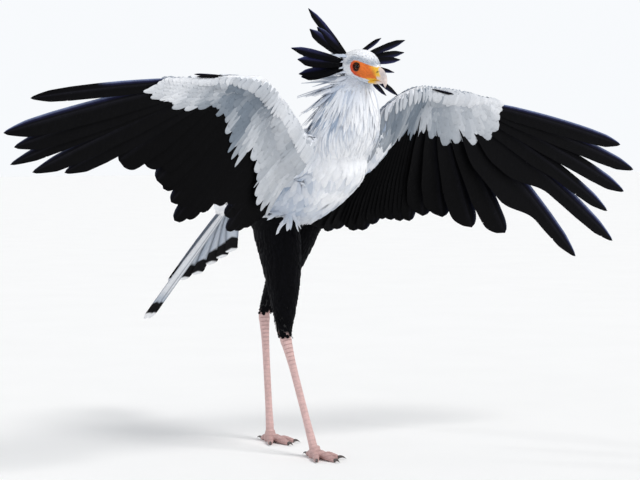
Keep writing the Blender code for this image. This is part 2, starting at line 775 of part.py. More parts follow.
def covert_vanes(wing, feathers):
    vanes = []
    for name, share, lift, setback in COVERT_TIERS:
        for kind, root, angle, length in feathers[1:]:
            lead, trail = COVERT_HALF_WIDTHS[kind]
            reach = setback + share * min(length, COVERT_LONGEST_FEATHER)
            start = root - heading_vector(angle) * setback
            root_lift = lift * COVERT_ROOT_LIFT_SHARE
            vanes.append(wing.vane(name, start, angle, reach, lead, trail, COVERT_OUTLINE, root_lift, lift))
    return vanes


def alula_vanes(wing):
    """Three short feathers that stand on the thumb, along the hand's leading edge."""
    vanes = []
    lead, trail = ALULA_HALF_WIDTHS
    for index in range(ALULA_COUNT):
        root = wing.hand(ALULA_FIRST + ALULA_STEP * index) - Vector((0.0, 0.004))
        angle = wing.hand_angle - math.radians(1.0 + 1.5 * index)
        length = ALULA_LENGTH - ALULA_SHORTER * index
        tip_lift = 0.009 + 0.003 * index
        vanes.append(wing.vane("alula", root, angle, length, lead, trail, BROAD_OUTLINE, 0.004, tip_lift))
    return vanes


def make_wing(side, torso, neck):
    wing = Wing(side)
    item = wing_flesh(wing)
    cut_clear(item, torso)
    cut_clear(item, neck)
    fuse(item, wing_feathers(wing) + alula_vanes(wing))
    return item


# Tail: stations of the core as length, half width and half height, then the feathers

TAIL_CORE_ROWS = ((-0.030, 0.030, 0.028), (0.000, 0.038, 0.032), (0.040, 0.036, 0.026), (0.080, 0.024, 0.014))
TAIL_CORE_RINGS = 5
TAIL_CORE_SIDES = 10
TAIL_OUTLINE = ((0.0, 0.50), (0.45, 0.92), (0.92, 0.88), (1.0, 0.25))
TAIL_HALF_WIDTH = 0.022
TAIL_CENTRAL_HALF_WIDTH = 0.018
TAIL_LAYER = 0.0013
TAIL_SAG = 0.015
TAIL_COVERT_RANKS = 3
TAIL_COVERT_FAN_STEP = math.radians(6.0)
TAIL_COVERT_HALF_WIDTH = 0.019
TAIL_COVERT_LIFT = 0.0095
# Upper and lower tail coverts: the side they lie on, and the length of the longest
TAIL_COVERT_SIDES = ((1.0, 0.150), (-1.0, 0.180))


def tail_pose():
    return Pose(TAIL_ROOT, (0.0, math.cos(TAIL_DROOP), -math.sin(TAIL_DROOP)), UPWARD)


def make_tail(torso):
    pose = tail_pose()
    rings = []
    for place, half_width, half_height in spline_rows(TAIL_CORE_ROWS, TAIL_CORE_RINGS):
        centre = pose.at(place, 0.0, 0.0)
        rings.append(section(centre, pose.side, pose.up, half_width, half_height, TAIL_CORE_SIDES))
    tail = loft("tail", rings, mean_point(rings[0]), mean_point(rings[-1]))
    fuse(tail, tail_vanes(pose))
    cut_clear(tail, torso)
    return tail


def tail_vanes(pose):
    """The long central pair over the graduated outer feathers, and their coverts above and below."""
    vanes = []
    for rank, length in enumerate((TAIL_CENTRAL_LENGTH,) + TAIL_OUTER_LENGTHS):
        for pair, sign in enumerate((1.0, -1.0)):
            turn = TAIL_FAN_STEP * (rank + 0.35) * sign
            direction = pose.forward * math.cos(turn) + pose.side * math.sin(turn)
            layer = TAIL_LAYER * (5.5 - 2.0 * rank - pair)
            root = pose.at(0.030, sign * (0.003 + 0.0030 * rank), layer)
            half_width = TAIL_HALF_WIDTH if rank else TAIL_CENTRAL_HALF_WIDTH
            bend = -TAIL_SAG * length
            vanes.append(plume("rectrix", root, direction, pose.up, length, half_width, TAIL_OUTLINE, bend))
    for rank in range(TAIL_COVERT_RANKS):
        for pair, sign in enumerate((1.0, -1.0)):
            for level, reach in TAIL_COVERT_SIDES:
                turn = TAIL_COVERT_FAN_STEP * (rank + 0.4) * sign
                direction = pose.forward * math.cos(turn) + pose.side * math.sin(turn)
                order = 2.0 * (TAIL_COVERT_RANKS - 1 - rank) + pair
                lift = level * (TAIL_COVERT_LIFT + TAIL_LAYER * order)
                root = pose.at(0.014, sign * (0.006 + 0.007 * rank), lift)
                length = reach - 0.020 * rank
                bend = -TAIL_SAG * length
                vanes.append(plume("tail_covert", root, direction, pose.up, length, TAIL_COVERT_HALF_WIDTH,
                                   TAIL_OUTLINE, bend))
    return vanes


# Legs: stations from hip to ankle as share of the way, half width and half depth

THIGH_ROWS = (
    (0.00, 0.054, 0.072),
    (0.16, 0.054, 0.072),
    (0.36, 0.048, 0.060),
    (0.58, 0.038, 0.045),
    (0.78, 0.027, 0.031),
    (0.93, 0.0185, 0.0205),
    (1.00, 0.0150, 0.0165),
)
THIGH_RINGS = 10
THIGH_SIDES = 16
KNEE_PUSH = 0.016
# The shank from ankle to foot, in the same terms, and the plates down its front
TARSUS_ROWS = (
    (0.00, 0.0120, 0.0125),
    (0.06, 0.0140, 0.0160),
    (0.12, 0.0118, 0.0138),
    (0.30, 0.0088, 0.0108),
    (0.70, 0.0084, 0.0100),
    (0.90, 0.0098, 0.0112),
    (1.00, 0.0118, 0.0125),
)
TARSUS_SIDES = 10
SCUTE_COUNT = 9
SCUTE_START = 0.12
SCUTE_END = 0.92
SCUTE_STEP_SHARE = 0.006
SCUTE_RAISE = 0.0011
# Toes: name, turn from straight ahead towards the midline, length and radius
TOES = (
    ("middle", 0.0, 0.078, 0.0092),
    ("inner", 34.0, 0.056, 0.0086),
    ("outer", -32.0, 0.062, 0.0084),
    ("hind", 176.0, 0.030, 0.0078),
)
TOE_PROFILE = ((0.0, 1.10), (0.22, 1.10), (0.40, 0.90), (0.55, 1.02), (0.80, 0.86), (1.0, 0.64))
TOE_SIDES = 8
TOE_CENTRE_SHARE = 0.82
# The palm from the sole up: height, half width and half length
PALM_ROWS = (
    (0.000, 0.0150, 0.0150),
    (0.010, 0.0170, 0.0175),
    (0.020, 0.0145, 0.0150),
    (0.030, 0.0120, 0.0125),
)
PALM_SIDES = 12
CLAW_PROFILE = ((0.0, 1.0), (0.30, 0.80), (0.60, 0.52), (0.85, 0.24))
CLAW_SIDES = 7
CLAW_WIDTH_SHARE = 0.55
CLAW_DROP = 0.0028
CLAW_LENGTHS = {"middle": 0.021, "inner": 0.022, "outer": 0.018, "hind": 0.022}
TOE_ROOT_REACH = 0.006


def make_thigh(side, torso):
    hip, ankle = HIP_PLACE[side], ANKLE_PLACE[side]
    rings = []
    for place, half_width, half_depth in spline_rows(THIGH_ROWS, THIGH_RINGS):
        push = KNEE_PUSH * math.sin(math.pi * min(place * 1.1, 1.0))
        centre = hip.lerp(ankle, place) + AHEAD * push
        rings.append(section(centre, ACROSS, -AHEAD, half_width, half_depth, THIGH_SIDES))
    thigh = loft("thigh_" + side, rings, hip + UPWARD * 0.012, ankle - UPWARD * 0.005)
    cut_clear(thigh, torso)
    return thigh


def make_tarsus(side, thigh):
    """The bare shank, with a row of raised plates down its front."""
    top = ANKLE_PLACE[side] + Vector((0.0, 0.004, 0.012))
    bottom = FOOT_PLACE[side] + UPWARD * 0.012
    table = np.array(TARSUS_ROWS)
    rings = []
    places = [0.0, 0.04, 0.08]
    plate = (SCUTE_END - SCUTE_START) / SCUTE_COUNT
    for index in range(SCUTE_COUNT):
        start = SCUTE_START + plate * index
        places += [start, start + plate - SCUTE_STEP_SHARE]
    places += [0.93, 1.0]
    pose = Pose(top, bottom - top, AHEAD)
    for index, place in enumerate(places):
        centre = top.lerp(bottom, place)
        half_width = float(np.interp(place, table[:, 0], table[:, 1]))
        half_depth = float(np.interp(place, table[:, 0], table[:, 2]))
        ring = section(centre, pose.side, pose.up, half_width, half_depth, TARSUS_SIDES)
        raised = SCUTE_RAISE if 3 <= index < len(places) - 2 and index % 2 == 0 else 0.0
        for step, point in enumerate(ring):
            outward = (point - centre).normalized()
            ring[step] = point + outward * (raised * max(outward.dot(pose.up), 0.0))
        rings.append(ring)
    tarsus = loft("tarsus_" + side, rings, mean_point(rings[0]), mean_point(rings[-1]))
    cut_clear(tarsus, thigh)
    return tarsus


def toe_direction(side, turn):
    mirror = 1.0 if side == "left" else -1.0
    heading = math.radians(turn * mirror)
    return Vector((-math.sin(heading), -math.cos(heading), 0.0))


def make_toe(side, turn, length, radius):
    """A jointed toe that lies on a flat sole."""
    direction = toe_direction(side, turn)
    start = FOOT_PLACE[side] + direction * TOE_ROOT_REACH
    rings = []
    for place, share in TOE_PROFILE:
        half = radius * share
        height = half * TOE_CENTRE_SHARE + 0.004 * (1.0 - place)
        centre = start + direction * (length * place) + UPWARD * height
        ring = section(centre, direction.cross(UPWARD), UPWARD, half, half, TOE_SIDES)
        for point in ring:
            point.z = max(point.z, FLOOR)
        rings.append(ring)
    return loft("toe", rings, mean_point(rings[0]), mean_point(rings[-1]))


def make_foot(side, tarsus):
    centres = [FOOT_PLACE[side] + UPWARD * row[0] for row in PALM_ROWS]
    half_widths = [row[1] for row in PALM_ROWS]
    half_lengths = [row[2] for row in PALM_ROWS]
    palm = tube("foot_" + side, centres, half_widths, half_lengths, PALM_SIDES, AHEAD)
    toes = [make_toe(side, turn, length, radius) for _, turn, length, radius in TOES]
    fuse(palm, toes)
    cut_clear(palm, tarsus)
    return palm


def make_claw(side, name, turn, length, radius):
    direction = toe_direction(side, turn)
    height = radius * TOE_PROFILE[-1][1] * TOE_CENTRE_SHARE
    base = FOOT_PLACE[side] + direction * (TOE_ROOT_REACH + length + GAP) + UPWARD * height
    reach = CLAW_LENGTHS[name]
    rings = []
    for place, share in CLAW_PROFILE:
        rise = 0.0035 * math.sin(math.pi * place) - 0.0015 * place
        centre = base + direction * (reach * place) + UPWARD * rise
        half = radius * CLAW_WIDTH_SHARE * share
        rings.append(section(centre, direction.cross(UPWARD), UPWARD, half * 0.85, half, CLAW_SIDES))
    tip = base + direction * reach - UPWARD * CLAW_DROP
    return loft("claw_%s_%s" % (side, name), rings, mean_point(rings[0]), tip)


def stand_on_origin(items):
    """Moves the whole bird so that the middle of its base is the origin."""
    corners = np.array([item.matrix_world @ vertex.co for item in items for vertex in item.data.vertices])
    low, high = corners.min(axis=0), corners.max(axis=0)
    shift = Vector((-(low[0] + high[0]) / 2.0, -(low[1] + high[1]) / 2.0, -low[2]))
    for item in items:
        for vertex in item.data.vertices:
            vertex.co += shift


def build():
    clear_scene()
    white = make_material("white_plumage", PLUMAGE_WHITE, 0.85)
    grey = make_material("grey_plumage", PLUMAGE_GREY, 0.85)
    black = make_material("black_plumage", PLUMAGE_BLACK, 0.60)
    face = make_material("face_skin", FACE_ORANGE, 0.55)
    horn = make_material("bill_horn", HORN_GREY, 0.35)
    leg = make_material("leg_skin", LEG_PINK, 0.60)
    claw = make_material("claw_horn", CLAW_DARK, 0.40)
    eye = make_material("eye_glass", EYE_DARK, 0.08)

    torso = make_torso()
    eyes = [make_eye("right", 1.0), make_eye("left", -1.0)]
    head = make_head(eyes)
    neck = make_neck(torso, head)
    upper = make_upper_bill(head)
    lower = make_lower_bill(head, upper)
    items = [finish(torso, grey), finish(neck, white), finish(head, face)]
    items += [finish(upper, horn), finish(lower, horn)] + [finish(item, eye) for item in eyes]
    for side in ("right", "left"):
        items.append(finish(make_wing(side, torso, neck), black))
        thigh = make_thigh(side, torso)
        tarsus = make_tarsus(side, thigh)
        foot = make_foot(side, tarsus)
        items += [finish(thigh, black), finish(tarsus, leg), finish(foot, leg)]
        items += [finish(make_claw(side, *toe), claw) for toe in TOES]
    items.append(finish(make_tail(torso), grey))
    stand_on_origin(items)


build()
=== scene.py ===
"""Looks of the secretary bird: skin, plumage, bill, eyes, claws, floor, lights and camera.

The bird faces -Y and its left side is +X. Lengths are in metres.
"""
import json
import math

import bpy
import numpy as np
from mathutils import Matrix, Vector
from mathutils.bvhtree import BVHTree
from mathutils.kdtree import KDTree

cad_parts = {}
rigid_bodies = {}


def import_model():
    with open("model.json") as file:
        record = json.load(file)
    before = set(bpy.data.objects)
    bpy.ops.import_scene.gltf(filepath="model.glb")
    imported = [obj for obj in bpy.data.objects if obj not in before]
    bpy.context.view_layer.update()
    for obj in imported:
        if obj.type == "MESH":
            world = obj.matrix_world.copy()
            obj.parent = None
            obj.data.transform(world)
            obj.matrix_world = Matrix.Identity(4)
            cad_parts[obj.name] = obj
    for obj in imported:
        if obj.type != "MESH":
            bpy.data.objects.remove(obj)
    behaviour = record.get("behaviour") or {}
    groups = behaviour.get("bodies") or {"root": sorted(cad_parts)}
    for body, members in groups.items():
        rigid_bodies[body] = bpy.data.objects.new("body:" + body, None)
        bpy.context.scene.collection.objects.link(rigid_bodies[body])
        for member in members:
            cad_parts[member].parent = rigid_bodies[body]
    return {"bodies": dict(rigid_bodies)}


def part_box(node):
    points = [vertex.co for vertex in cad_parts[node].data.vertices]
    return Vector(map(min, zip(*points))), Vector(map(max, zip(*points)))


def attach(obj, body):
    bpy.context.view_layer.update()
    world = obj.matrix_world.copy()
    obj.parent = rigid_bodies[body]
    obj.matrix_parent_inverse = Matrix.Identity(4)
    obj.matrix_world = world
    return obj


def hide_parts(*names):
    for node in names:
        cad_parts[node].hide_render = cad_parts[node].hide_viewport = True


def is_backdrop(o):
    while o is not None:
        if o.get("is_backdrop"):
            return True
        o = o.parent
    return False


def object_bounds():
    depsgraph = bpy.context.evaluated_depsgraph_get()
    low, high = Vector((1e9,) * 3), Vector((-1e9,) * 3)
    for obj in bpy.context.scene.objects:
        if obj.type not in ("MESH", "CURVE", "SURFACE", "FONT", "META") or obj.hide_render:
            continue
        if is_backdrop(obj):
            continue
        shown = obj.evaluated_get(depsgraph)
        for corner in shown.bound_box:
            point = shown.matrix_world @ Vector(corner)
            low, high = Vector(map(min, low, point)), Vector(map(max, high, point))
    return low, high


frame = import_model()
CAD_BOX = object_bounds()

ACROSS = np.array([1.0, 0.0, 0.0])
AHEAD = np.array([0.0, -1.0, 0.0])
UPWARD = np.array([0.0, 0.0, 1.0])
SEED = 11

# Places shared with the solids, in the bird's own frame before it is set on the origin
HEAD_TURN = math.radians(8.0)
HEAD_PITCH = math.radians(5.0)
EYE_MID = np.array([0.0, -0.325, 0.974])
EYE_SIDE = 0.0235
EYE_RADIUS = 0.0108
SHOULDER = np.array([0.09, -0.225, 0.787])
FOOT_PLACE = {"right": np.array([-0.035, -0.165, 0.0]), "left": np.array([0.016, 0.108, 0.0])}
ANKLE_PLACE = {"right": np.array([-0.047, -0.052, 0.292]), "left": np.array([0.034, 0.160, 0.333])}
HIP_PLACE = {"right": np.array([-0.062, -0.020, 0.61]), "left": np.array([0.062, 0.030, 0.61])}
TAIL_ROOT = np.array([0.0, 0.262, 0.648])
TAIL_DROOP = math.radians(37.0)
RIM_ANGLE = math.radians(50.0)


def unit(vectors):
    vectors = np.asarray(vectors, float)
    return vectors / np.maximum(np.linalg.norm(vectors, axis=-1, keepdims=True), 1e-12)


def blend(values, low, high):
    """0 below low, 1 above high, and an S curve between."""
    share = np.clip((np.asarray(values, float) - low) / (high - low), 0.0, 1.0)
    return share * share * (3.0 - 2.0 * share)


def mix(first, second, share):
    share = np.asarray(share, float)[..., None]
    return np.asarray(first) * (1.0 - share) + np.asarray(second) * share


def srgb(red, green, blue):
    """A linear colour from screen values of 0 to 255."""
    values = np.array([red, green, blue]) / 255.0
    return np.where(values <= 0.04045, values / 12.92, ((values + 0.055) / 1.055) ** 2.4)


class Pose:
    """A local frame: an origin with forward, side and up directions."""

    def __init__(self, origin, forward, up):
        self.origin = np.asarray(origin, float)
        self.forward = unit(forward)
        self.side = unit(np.cross(self.forward, up))
        self.up = np.cross(self.side, self.forward)

    def at(self, forward, side, up):
        parts = np.broadcast_arrays(forward, side, up)
        forward, side, up = [np.asarray(part, float)[..., None] for part in parts]
        return self.origin + forward * self.forward + side * self.side + up * self.up

    def read(self, points):
        """Forward, side and up of points."""
        offset = np.asarray(points) - self.origin
        return offset @ self.forward, offset @ self.side, offset @ self.up


HEAD = Pose(
    EYE_MID,
    (
        math.sin(HEAD_TURN) * math.cos(HEAD_PITCH),
        -math.cos(HEAD_TURN) * math.cos(HEAD_PITCH),
        -math.sin(HEAD_PITCH),
    ),
    UPWARD,
)
TAIL = Pose(TAIL_ROOT, (0.0, math.cos(TAIL_DROOP), -math.sin(TAIL_DROOP)), UPWARD)


def eye_centre(sign):
    return HEAD.at(0.0, sign * EYE_SIDE, 0.0)


# The solids stand with the middle of their base on the origin: the right eye says how far they were moved
EYE_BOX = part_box("eye_right")
OFFSET = (np.array(EYE_BOX[0]) + np.array(EYE_BOX[1])) / 2.0 - eye_centre(1.0)
BODY = list(frame["bodies"])[0]


# Meshes


def spline_rows(rows, count):
    """Rows of numbers read along a smooth curve through the given rows."""
    table = np.array(rows, dtype=float)
    padded = np.vstack([2 * table[0] - table[1], table, 2 * table[-1] - table[-2]])
    places = np.linspace(0.0, len(table) - 1.0, count)
    start = np.minimum(places.astype(int), len(table) - 2)
    part = (places - start)[:, None]
    before, here, after, beyond = (padded[start + step] for step in range(4))
    cube, square = part**3, part**2
    result = (2 * cube - 3 * square + 1) * here + (cube - 2 * square + part) * 0.5 * (after - before)
    return result + (3 * square - 2 * cube) * after + (cube - square) * 0.5 * (beyond - here)


def section(centre, across, up, half_width, half_height, sides, squareness=2.0):
    angle = 2.0 * np.pi * (np.arange(sides) + 0.5) / sides
    wide, tall = np.cos(angle), np.sin(angle)
    wide = np.sign(wide) * np.abs(wide) ** (2.0 / squareness) * half_width
    tall = np.sign(tall) * np.abs(tall) ** (2.0 / squareness) * half_height
    return centre + wide[:, None] * across + tall[:, None] * up


def signed_volume(points, faces):
    total = 0.0
    for group in faces:
        corner = points[group]
        for step in range(1, group.shape[1] - 1):
            total += np.einsum("ij,ij->", corner[:, 0], np.cross(corner[:, step], corner[:, step + 1]))
    return total / 6.0


def outward(points, faces):
    if signed_volume(points, faces) < 0.0:
        faces = [group[:, ::-1] for group in faces]
    return points, faces


def loft(rings, start_tip, end_tip):
    """A closed skin over the rings, with a point at each end."""
    rings = np.asarray(rings, float)
    count, sides = rings.shape[:2]
    points = np.vstack([rings.reshape(-1, 3), start_tip, end_tip])
    grid = np.arange(count * sides).reshape(count, sides)
    turned = np.roll(grid, -1, axis=1)
    quads = np.stack([grid[:-1], turned[:-1], turned[1:], grid[1:]], -1).reshape(-1, 4)
    start = np.full(sides, count * sides)
    first = np.stack([turned[0], grid[0], start], -1)
    last = np.stack([grid[-1], turned[-1], start + 1], -1)
    return outward(points, [quads, np.vstack([first, last])])


def capped(rings):
    """A loft whose ends are closed flat."""
    return loft(rings, rings[0].mean(axis=0), rings[-1].mean(axis=0))


def tube(centres, half_widths, half_heights, sides, up):
    """A loft of sections square to the path through the centres."""
    centres = np.asarray(centres, float)
    rings = []
    for index, centre in enumerate(centres):
        before = centres[max(index - 1, 0)]
        after = centres[min(index + 1, len(centres) - 1)]
        pose = Pose(centre, after - before, up)
        rings.append(section(centre, pose.side, pose.up, half_widths[index], half_heights[index], sides))
    return capped(rings)


class Shell:
    """Forms gathered into one mesh, with the maps and marks that they carry."""

    def __init__(self):
        self.points = []
        self.faces = []
        self.bake = []
        self.vane = []
        self.mark = []
        self.count = 0

    def add(self, points, faces, bake=None, vane=None, mark=None):
        points = np.asarray(points, float).reshape(-1, 3)
        self.points.append(points)
        self.faces += [np.asarray(group) + self.count for group in faces]
        size = len(points)
        self.bake.append(np.zeros((size, 2)) if bake is None else np.asarray(bake).reshape(-1, 2))
        self.vane.append(np.zeros((size, 2)) if vane is None else np.asarray(vane).reshape(-1, 2))
        self.mark.append(np.ones((size, 3)) if mark is None else np.asarray(mark).reshape(-1, 3))
        self.count += size

    def build(self, name, mapped=True, sharp=None):
        mesh = bpy.data.meshes.new(name)
        points = np.vstack(self.points) + OFFSET
        mesh.vertices.add(len(points))
        mesh.vertices.foreach_set("co", points.astype(np.float32).ravel())
        loops = np.concatenate([group.ravel() for group in self.faces]).astype(np.int32)
        sizes = np.concatenate([np.full(len(group), group.shape[1]) for group in self.faces])
        starts = np.concatenate([[0], np.cumsum(sizes)[:-1]]).astype(np.int32)
        mesh.loops.add(len(loops))
        mesh.loops.foreach_set("vertex_index", loops)
        mesh.polygons.add(len(sizes))
        mesh.polygons.foreach_set("loop_start", starts)
        mesh.update(calc_edges=True)
        if mapped:
            for label, values in (("OFBake", self.bake), ("Vane", self.vane)):
                layer = mesh.uv_layers.new(name=label)
                layer.data.foreach_set("uv", np.vstack(values)[loops].astype(np.float32).ravel())
            set_mark(mesh, np.vstack(self.mark))
        mesh.shade_smooth()
        if sharp is not None:
            mesh.set_sharp_from_angle(angle=sharp)
        item = bpy.data.objects.new(name, mesh)
        bpy.context.scene.collection.objects.link(item)
        return item


def set_mark(mesh, colours):
    attribute = mesh.attributes.get("Mark") or mesh.attributes.new("Mark", "FLOAT_COLOR", "POINT")
    values = np.ones((len(colours), 4), np.float32)
    values[:, :3] = colours
    attribute.data.foreach_set("color", values.ravel())


def evaluate(item):
    """Turns an object's modifiers into its mesh."""
    bpy.context.view_layer.update()
    graph = bpy.context.evaluated_depsgraph_get()
    mesh = bpy.data.meshes.new_from_object(item.evaluated_get(graph))
    item.modifiers.clear()
    item.data = mesh
    return item


def read_points(item):
    """An object's points in the bird's own frame."""
    values = np.zeros(len(item.data.vertices) * 3, np.float32)
    item.data.vertices.foreach_get("co", values)
    return values.reshape(-1, 3).astype(float) - OFFSET


def write_points(item, points):
    item.data.vertices.foreach_set("co", (points + OFFSET).astype(np.float32).ravel())
    item.data.update()


def read_normals(item):
    values = np.zeros(len(item.data.vertices) * 3, np.float32)
    item.data.vertex_normals.foreach_get("vector", values)
    return values.reshape(-1, 3).astype(float)


def boolean(item, other, operation):
    cut = item.modifiers.new("Joint", "BOOLEAN")
    cut.operation = operation
    cut.solver = "MANIFOLD"
    cut.object = other
    evaluate(item)
    bpy.data.objects.remove(other, do_unlink=True)


def remeshed(name, forms, voxel, smoothing):
    """Overlapping closed forms made one even skin."""
    shell = Shell()
    for points, faces in forms:
        shell.add(points, faces)
    item = shell.build(name, mapped=False)
    grain = item.modifiers.new("Remesh", "REMESH")
    grain.mode = "VOXEL"
    grain.voxel_size = voxel
    grain.adaptivity = 0.0
    soft = item.modifiers.new("Smooth", "SMOOTH")
    soft.factor = 0.5
    soft.iterations = smoothing
    return evaluate(item)


def dress(item, material, slot, *nodes):
    item.data.materials.clear()
    item.data.materials.append(material)
    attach(item, BODY)
    if nodes:
        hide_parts(*nodes)
    return item


# Materials


NOISE_RANGE = (0.3, 0.7)
BARB_SCALE = (26.0, 620.0, 1.0)
LOCK_SCALE = (60.0, 95.0, 1.0)
SPOKE_SCALE = (30.0, 260.0, 1.0)
CLOUD_SCALE = 26.0
SKIN_CELL_SCALE = 520.0
SKIN_BLOTCH_SCALE = 90.0
PORE_SCALE = 700.0
MOTTLE_SCALE = 240.0


class Nodes:
    """A material's node tree, with short calls for what it uses."""

    def __init__(self, name):
        self.material = bpy.data.materials.new(name)
        self.material.use_nodes = True
        self.tree = self.material.node_tree
        self.shader = self.tree.nodes["Principled BSDF"]

    def set(self, **values):
        for name, value in values.items():
            self.shader.inputs[name.replace("_", " ")].default_value = value

    def node(self, kind, inputs=None, **settings):
        item = self.tree.nodes.new("ShaderNode" + kind)
        for name, value in settings.items():
            setattr(item, name, value)
        for name, value in (inputs or {}).items():
            self.join(value, item.inputs[name])
        return item

    def join(self, value, socket):
        if isinstance(value, bpy.types.NodeSocket):
            self.tree.links.new(value, socket)
        else:
            socket.default_value = value

    def product(self, first, second):
        return self.node("Math", {0: first, 1: second}, operation="MULTIPLY").outputs[0]

    def neutral(self, level):
        """A colour with the same level in each channel."""
        return self.node("CombineColor", {0: level, 1: level, 2: level}).outputs[0]

    def marked(self, level):
        """The mesh's marks at a level."""
        shade = self.neutral(level)
        mark = self.node("Attribute", attribute_name="Mark").outputs["Color"]
        item = self.node("Mix", data_type="RGBA", blend_type="MULTIPLY")
        self.join(1.0, item.inputs[0])
        self.join(mark, item.inputs[6])
        self.join(shade, item.inputs[7])
        return item.outputs[2]

    def position(self, scale=(1.0, 1.0, 1.0)):
        place = self.node("NewGeometry").outputs["Position"]
        return self.node("Mapping", {"Vector": place, "Scale": scale}).outputs["Vector"]

    def vane(self, scale):
        place = self.node("UVMap", uv_map="Vane").outputs["UV"]
        return self.node("Mapping", {"Vector": place, "Scale": scale}).outputs["Vector"]

    def noise(self, vector, scale, detail=2.0, roughness=0.5):
        inputs = {"Vector": vector, "Scale": scale, "Detail": detail, "Roughness": roughness}
        return self.node("TexNoise", inputs).outputs["Fac"]

    def range(self, value, low, high, new_low, new_high):
        inputs = {"Value": value, "From Min": low, "From Max": high, "To Min": new_low, "To Max": new_high}
        return self.node("MapRange", inputs).outputs["Result"]

    def vary(self, noise, low, high):
        """A value that a noise takes from low to high."""
        return self.range(noise, *NOISE_RANGE, low, high)

    def bump(self, height, strength, distance, normal=None):
        inputs = {"Height": height, "Strength": strength, "Distance": distance}
        if normal is not None:
            inputs["Normal"] = normal
        return self.node("Bump", inputs).outputs["Normal"]

    def finish(self, colour, roughness, normal=None):
        self.join(colour, self.shader.inputs["Base Color"])
        self.join(roughness, self.shader.inputs["Roughness"])
        if normal is not None:
            self.join(normal, self.shader.inputs["Normal"])
        return self.material


def feather_material(name, roughness, sheen, sheen_tint, contrast, specular):
    """Barbs across each vane, from its own map: u across in metres and v along in metres."""
    nodes = Nodes(name)
    barbs = nodes.noise(nodes.vane(BARB_SCALE), 1.0, 3.0, 0.6)
    locks = nodes.noise(nodes.vane(LOCK_SCALE), 1.0, 2.0, 0.5)
    clouds = nodes.noise(nodes.position(), CLOUD_SCALE, 3.0, 0.55)
    fine = nodes.vary(barbs, 1.0 - contrast, 1.0 + 0.4 * contrast)
    broad = nodes.vary(locks, 1.0 - 0.6 * contrast, 1.0 + 0.25 * contrast)
    cloudy = nodes.range(clouds, 0.35, 0.65, 1.0 - 0.35 * contrast, 1.0 + 0.12 * contrast)
    colour = nodes.marked(nodes.product(nodes.product(fine, broad), cloudy))
    rough = nodes.vary(barbs, roughness - 0.08, roughness + 0.10)
    normal = nodes.bump(barbs, 0.35, 0.0006)
    normal = nodes.bump(locks, 0.30, 0.0012, normal)
    nodes.set(Sheen_Weight=sheen, Sheen_Roughness=0.45, Sheen_Tint=(*sheen_tint, 1.0))
    nodes.set(Specular_IOR_Level=specular)
    return nodes.finish(colour, rough, normal)


def skin_material():
    """Bare and feathered skin: marks with fine wrinkles and pores."""
    nodes = Nodes("bird_skin")
    inputs = {"Vector": nodes.position(), "Scale": SKIN_CELL_SCALE}
    cells = nodes.node("TexVoronoi", inputs, feature="DISTANCE_TO_EDGE").outputs["Distance"]
    blotch = nodes.noise(nodes.position(), SKIN_BLOTCH_SCALE, 4.0, 0.6)
    # Painted shade: the colour darkens along the cell edges, where the fine creases lie
    creases = nodes.range(cells, 0.0, 0.16, 0.72, 1.0)
    colour = nodes.marked(nodes.product(creases, nodes.vary(blotch, 0.84, 1.10)))
    rough = nodes.vary(blotch, 0.42, 0.62)
    normal = nodes.bump(cells, 0.35, 0.0006)
    normal = nodes.bump(nodes.noise(nodes.position(), PORE_SCALE, 3.0), 0.25, 0.0004, normal)
    nodes.set(Specular_IOR_Level=0.45)
    return nodes.finish(colour, rough, normal)


def horn_material(name, grain, roughness, coat):
    """Bill and claws: growth lines in a polished horn."""
    nodes = Nodes(name)
    lines = nodes.noise(nodes.position(grain), 1.0, 3.0, 0.55)
    mottle = nodes.noise(nodes.position(), MOTTLE_SCALE, 3.0, 0.6)
    colour = nodes.marked(nodes.product(nodes.vary(lines, 0.86, 1.06), nodes.vary(mottle, 0.93, 1.04)))
    rough = nodes.vary(mottle, roughness - 0.06, roughness + 0.10)
    normal = nodes.bump(lines, 0.25, 0.0005)
    nodes.set(Coat_Weight=coat, Coat_Roughness=0.18)
    return nodes.finish(colour, rough, normal)


def eye_material():
    """Iris with spokes round a wide pupil."""
    nodes = Nodes("eye_iris")
    spokes = nodes.noise(nodes.vane(SPOKE_SCALE), 1.0, 3.0, 0.6)
    colour = nodes.marked(nodes.vary(spokes, 0.55, 1.25))
    nodes.set(Specular_IOR_Level=0.10)
    return nodes.finish(colour, nodes.vary(spokes, 0.25, 0.4), nodes.bump(spokes, 0.2, 0.0002))


def cornea_material():
    nodes = Nodes("eye_cornea")
    nodes.set(Base_Color=(1.0, 1.0, 1.0, 1.0), Roughness=0.0, Transmission_Weight=1.0, IOR=1.15)
    return nodes.material


# Wings


# Sweep and angle of the hand in degrees, place of the wrist, reach of the hand and size of the feathers
WING_POSE = {
    "left": (6.0, 11.0, (0.122, -0.148), 0.185, 1.045),
    "right": (8.0, 2.5, (0.200, -0.156), 0.200, 0.965),
}
TWIST_SPAN = 0.35
ROOT_TILT = math.radians(30.0)
TIP_TILT = math.radians(12.0)
BLIND = math.radians(8.0)
PRIMARY_COUNT = 10
SECONDARY_COUNT = 14
TERTIAL_COUNT = 5
FINGER_COUNT = 6
# The primaries' roots, as shares of the hand's reach: the outermost one, and how far the others run back
OUTER_ROOT = 0.97
ROOT_STRETCH = 0.93
PRIMARY_LENGTHS = (0.485, 0.580, 0.590, 0.600, 0.595, 0.545, 0.445, 0.395, 0.365, 0.355)
SECONDARY_LENGTHS = (0.358, 0.290)
TERTIAL_LENGTHS = (0.272, 0.232)
SPREADS = {
    "left": (11.5, 16.5, 22.0, 27.8, 31.9, 40.2, 53.0, 62.5, 71.0, 76.5),
    "right": (6.0, 13.5, 17.0, 20.0, 23.0, 26.0, 30.5, 34.5, 38.0, 41.5),
}
SECONDARY_SPREAD = {"left": (80.0, 88.0), "right": (44.0, 57.0)}
TERTIAL_SPREAD = {"left": (89.0, 105.0), "right": (50.0, 81.0)}
